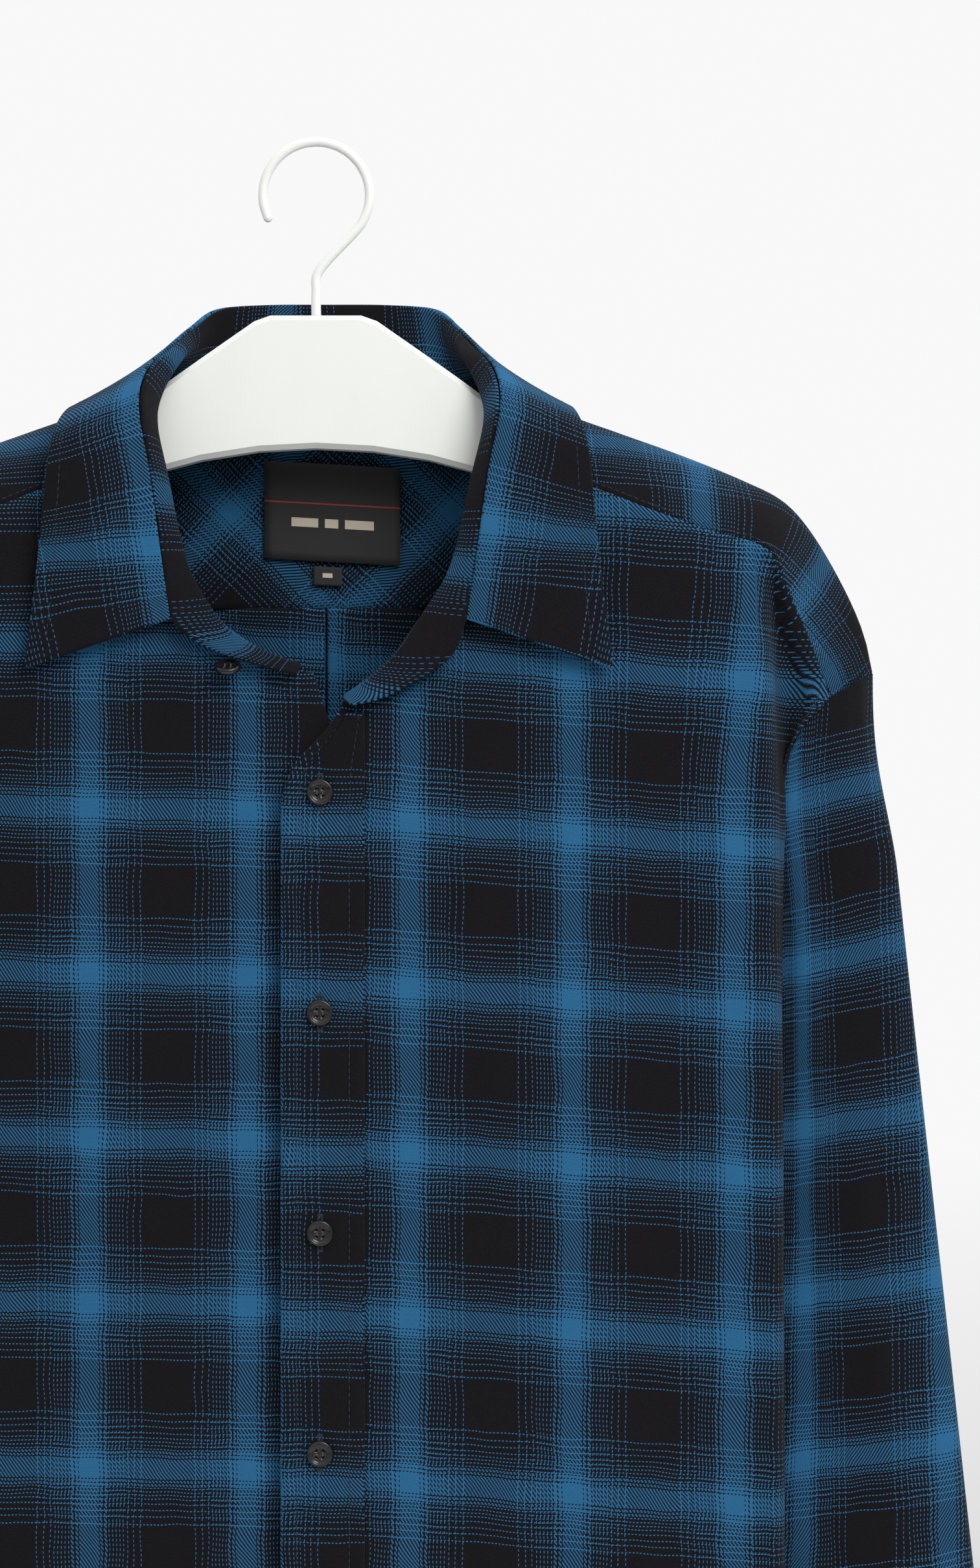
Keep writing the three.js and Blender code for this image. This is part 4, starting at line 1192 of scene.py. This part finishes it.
for name, face in (("sleevePlacketLeft", 1), ("sleevePlacketRight", -1)):
    for column in (0.9, 7.1):
        stitchRow(name, down(column, 0.5, 39.5), face, name + "Stitch" + str(int(column)))
print("stitches made")

# buttonholes, worked upright in close bars on both sides of a slit
hole = {"long": 14.6, "bar": 1.15, "slit": 0.22, "close": 0.5, "width": 0.5, "count": 6, "x": 0.5,
        "first": -284.5, "apart": 94.8, "tackHalf": 1.4, "tackApart": 0.45}


def buttonhole(host, name, centre, upright, sideways, normal):
    runs = []
    for k in range(int(hole["long"] / hole["close"]) + 1):
        at = centre + upright * (k * hole["close"] - hole["long"] / 2)
        for way in (-1, 1):
            inner, outer = hole["slit"] * way, (hole["slit"] + hole["bar"]) * way
            runs.append((at + sideways * inner, at + sideways * outer, normal))
    for way in (-1, 1):
        end = centre + upright * way * (hole["long"] / 2 + 0.2)
        for shift in (0, hole["tackApart"]):
            tip = end + upright * way * shift
            runs.append((tip - sideways * hole["tackHalf"], tip + sideways * hole["tackHalf"], normal))
    shells[host]["trims"].append(threadPads(name, runs, hole["width"], seamThread))


placketRows = shells["placketLeft"]["grid"]
for index in range(hole["count"]):
    z = hole["first"] - hole["apart"] * index
    row = min(range(len(placketRows)), key=lambda r: abs(placketRows[r][8].z - z))
    point, normal = onShell("placketLeft", row, 7.5, -1)
    centre = Vector((middle + hole["x"], point.y, z))
    name = "buttonhole" + str(index + 1)
    buttonhole("placketLeft", name, centre, Vector((0, 0, 1)), Vector((1, 0, 0)), normal)
standRow = len(shells["collarStand"]["grid"]) - 16
point, normal = onShell("collarStand", standRow, 7, 1)
upright = (onShell("collarStand", standRow + 1, 7, 1)[0] - point).normalized()
buttonhole("collarStand", "standButtonhole", point, upright, upright.cross(normal).normalized(), normal)
print("buttonholes made")


# how each sheet was cut: its widest and longest line, and the flat area between
def cutOf(shell):
    grid = [row + [row[0]] for row in shell["grid"]] if shell["closed"] else shell["grid"]
    width = max(lengthAlong(row)[-1] for row in grid)
    length = max(lengthAlong(column)[-1] for column in zip(*grid))
    area = 0
    for upper, lower in zip(grid, grid[1:]):
        for a, b, c, d in zip(upper, upper[1:], lower[1:], lower):
            area += ((c - a).cross(d - b)).length / 2
    return width * mm, length * mm, area * mm * mm


heldBy = {}
for names, held, support in (
    ("frontLeft frontRight backPanel", "hung", "yokeOuter"), ("yokeOuter", "draped", "hanger_board"),
    ("yokeInner", "hung", "yokeOuter"), ("collarStand", "folded", "yokeOuter"),
    ("collarLeaf", "folded", "collarStand"), ("placketLeft", "folded", "frontLeft"),
    ("sleeveLeft sleeveRight", "hung", "yokeOuter"), ("cuffLeft", "folded", "sleeveLeft"),
    ("cuffRight", "folded", "sleeveRight"), ("sleevePlacketLeft", "folded", "sleeveLeft"),
    ("sleevePlacketRight", "folded", "sleeveRight"), ("mainLabel sizeTab", "hung", "yokeInner"),
):
    heldBy.update({name: (held, [support]) for name in names.split()})
for name, (held, supports) in heldBy.items():
    width, length, area = cutOf(shells[name])
    length = 0.02 if name == "sizeTab" else length  # folded loop
    print("cut", name, round(width, 3), round(length, 3), round(area, 4))
    min(area, width * length)

# camera straight on, as the photo was taken
view = {"x": 76.6, "z": -281, "away": 1600, "tall": 691.4}
camera = bpy.data.objects.new("camera", bpy.data.cameras.new("camera"))
camera.data.sensor_fit = "VERTICAL"
camera.data.sensor_height = camera.data.sensor_width = 36
camera.data.lens = 36 * view["away"] / view["tall"]
camera.data.clip_end = 20
camera.location = Vector((view["x"], -view["away"], view["z"])) * mm
camera.rotation_euler = (math.pi / 2, 0, 0)
bpy.context.scene.collection.objects.link(camera)
bpy.context.scene.camera = camera

# soft studio: pale behind and above, dimmer in front, and one broad light from the upper right
studio = {"pale": 0.94, "above": 1.3, "below": 0.45, "front": 0.58, "key": 24.0, "keySize": 1.0,
          "keyAt": (0.8, -1.35, 0.8), "aim": (0.05, 0, -0.35), "floorZ": -0.98, "floorRadius": 1.3}
world = bpy.data.worlds.new("studio")
bpy.context.scene.world = world
world.use_nodes = True
nodes, links = world.node_tree.nodes, world.node_tree.links
background = next(node for node in nodes if node.type == "BACKGROUND")
direction = nodes.new("ShaderNodeTexCoord")
parts = nodes.new("ShaderNodeSeparateXYZ")
links.new(direction.outputs["Generated"], parts.inputs[0])
dome = (
    (2, -0.35, -0.1, studio["below"], studio["pale"]),
    (2, 0.3, 0.8, 0, studio["above"] - studio["pale"]),
    (1, -0.35, 0.25, studio["pale"] - studio["front"], 0),
)
levels = []
for axis, low, high, start, end in dome:
    remap = nodes.new("ShaderNodeMapRange")
    for label, value in (("From Min", low), ("From Max", high), ("To Min", start), ("To Max", end)):
        remap.inputs[label].default_value = value
    links.new(parts.outputs[axis], remap.inputs[0])
    levels.append(remap.outputs[0])
light = levels[0]
for operation, level in (("ADD", levels[1]), ("SUBTRACT", levels[2])):
    maths = nodes.new("ShaderNodeMath")
    maths.operation = operation
    links.new(light, maths.inputs[0])
    links.new(level, maths.inputs[1])
    light = maths.outputs[0]
links.new(light, background.inputs[0])

key = bpy.data.objects.new("key", bpy.data.lights.new("key", "AREA"))
key.data.energy = studio["key"]
key.data.size = studio["keySize"]
key.location = studio["keyAt"]
key.rotation_euler = (Vector(studio["aim"]) - key.location).to_track_quat("-Z", "Y").to_euler()
bpy.context.scene.collection.objects.link(key)
bpy.context.scene.view_settings.view_transform = "Standard"

floorMesh = bpy.data.meshes.new("floor")
bm = bmesh.new()
bmesh.ops.create_circle(bm, cap_ends=True, radius=studio["floorRadius"], segments=96)
bm.to_mesh(floorMesh)
bm.free()
floor = bpy.data.objects.new("floor", floorMesh)
floor.location.z = studio["floorZ"]
floor.data.materials.append(paintMaterial("paleFloor", (0.8, 0.8, 0.8), 0.8))
bpy.context.scene.collection.objects.link(floor)
print("studio made")
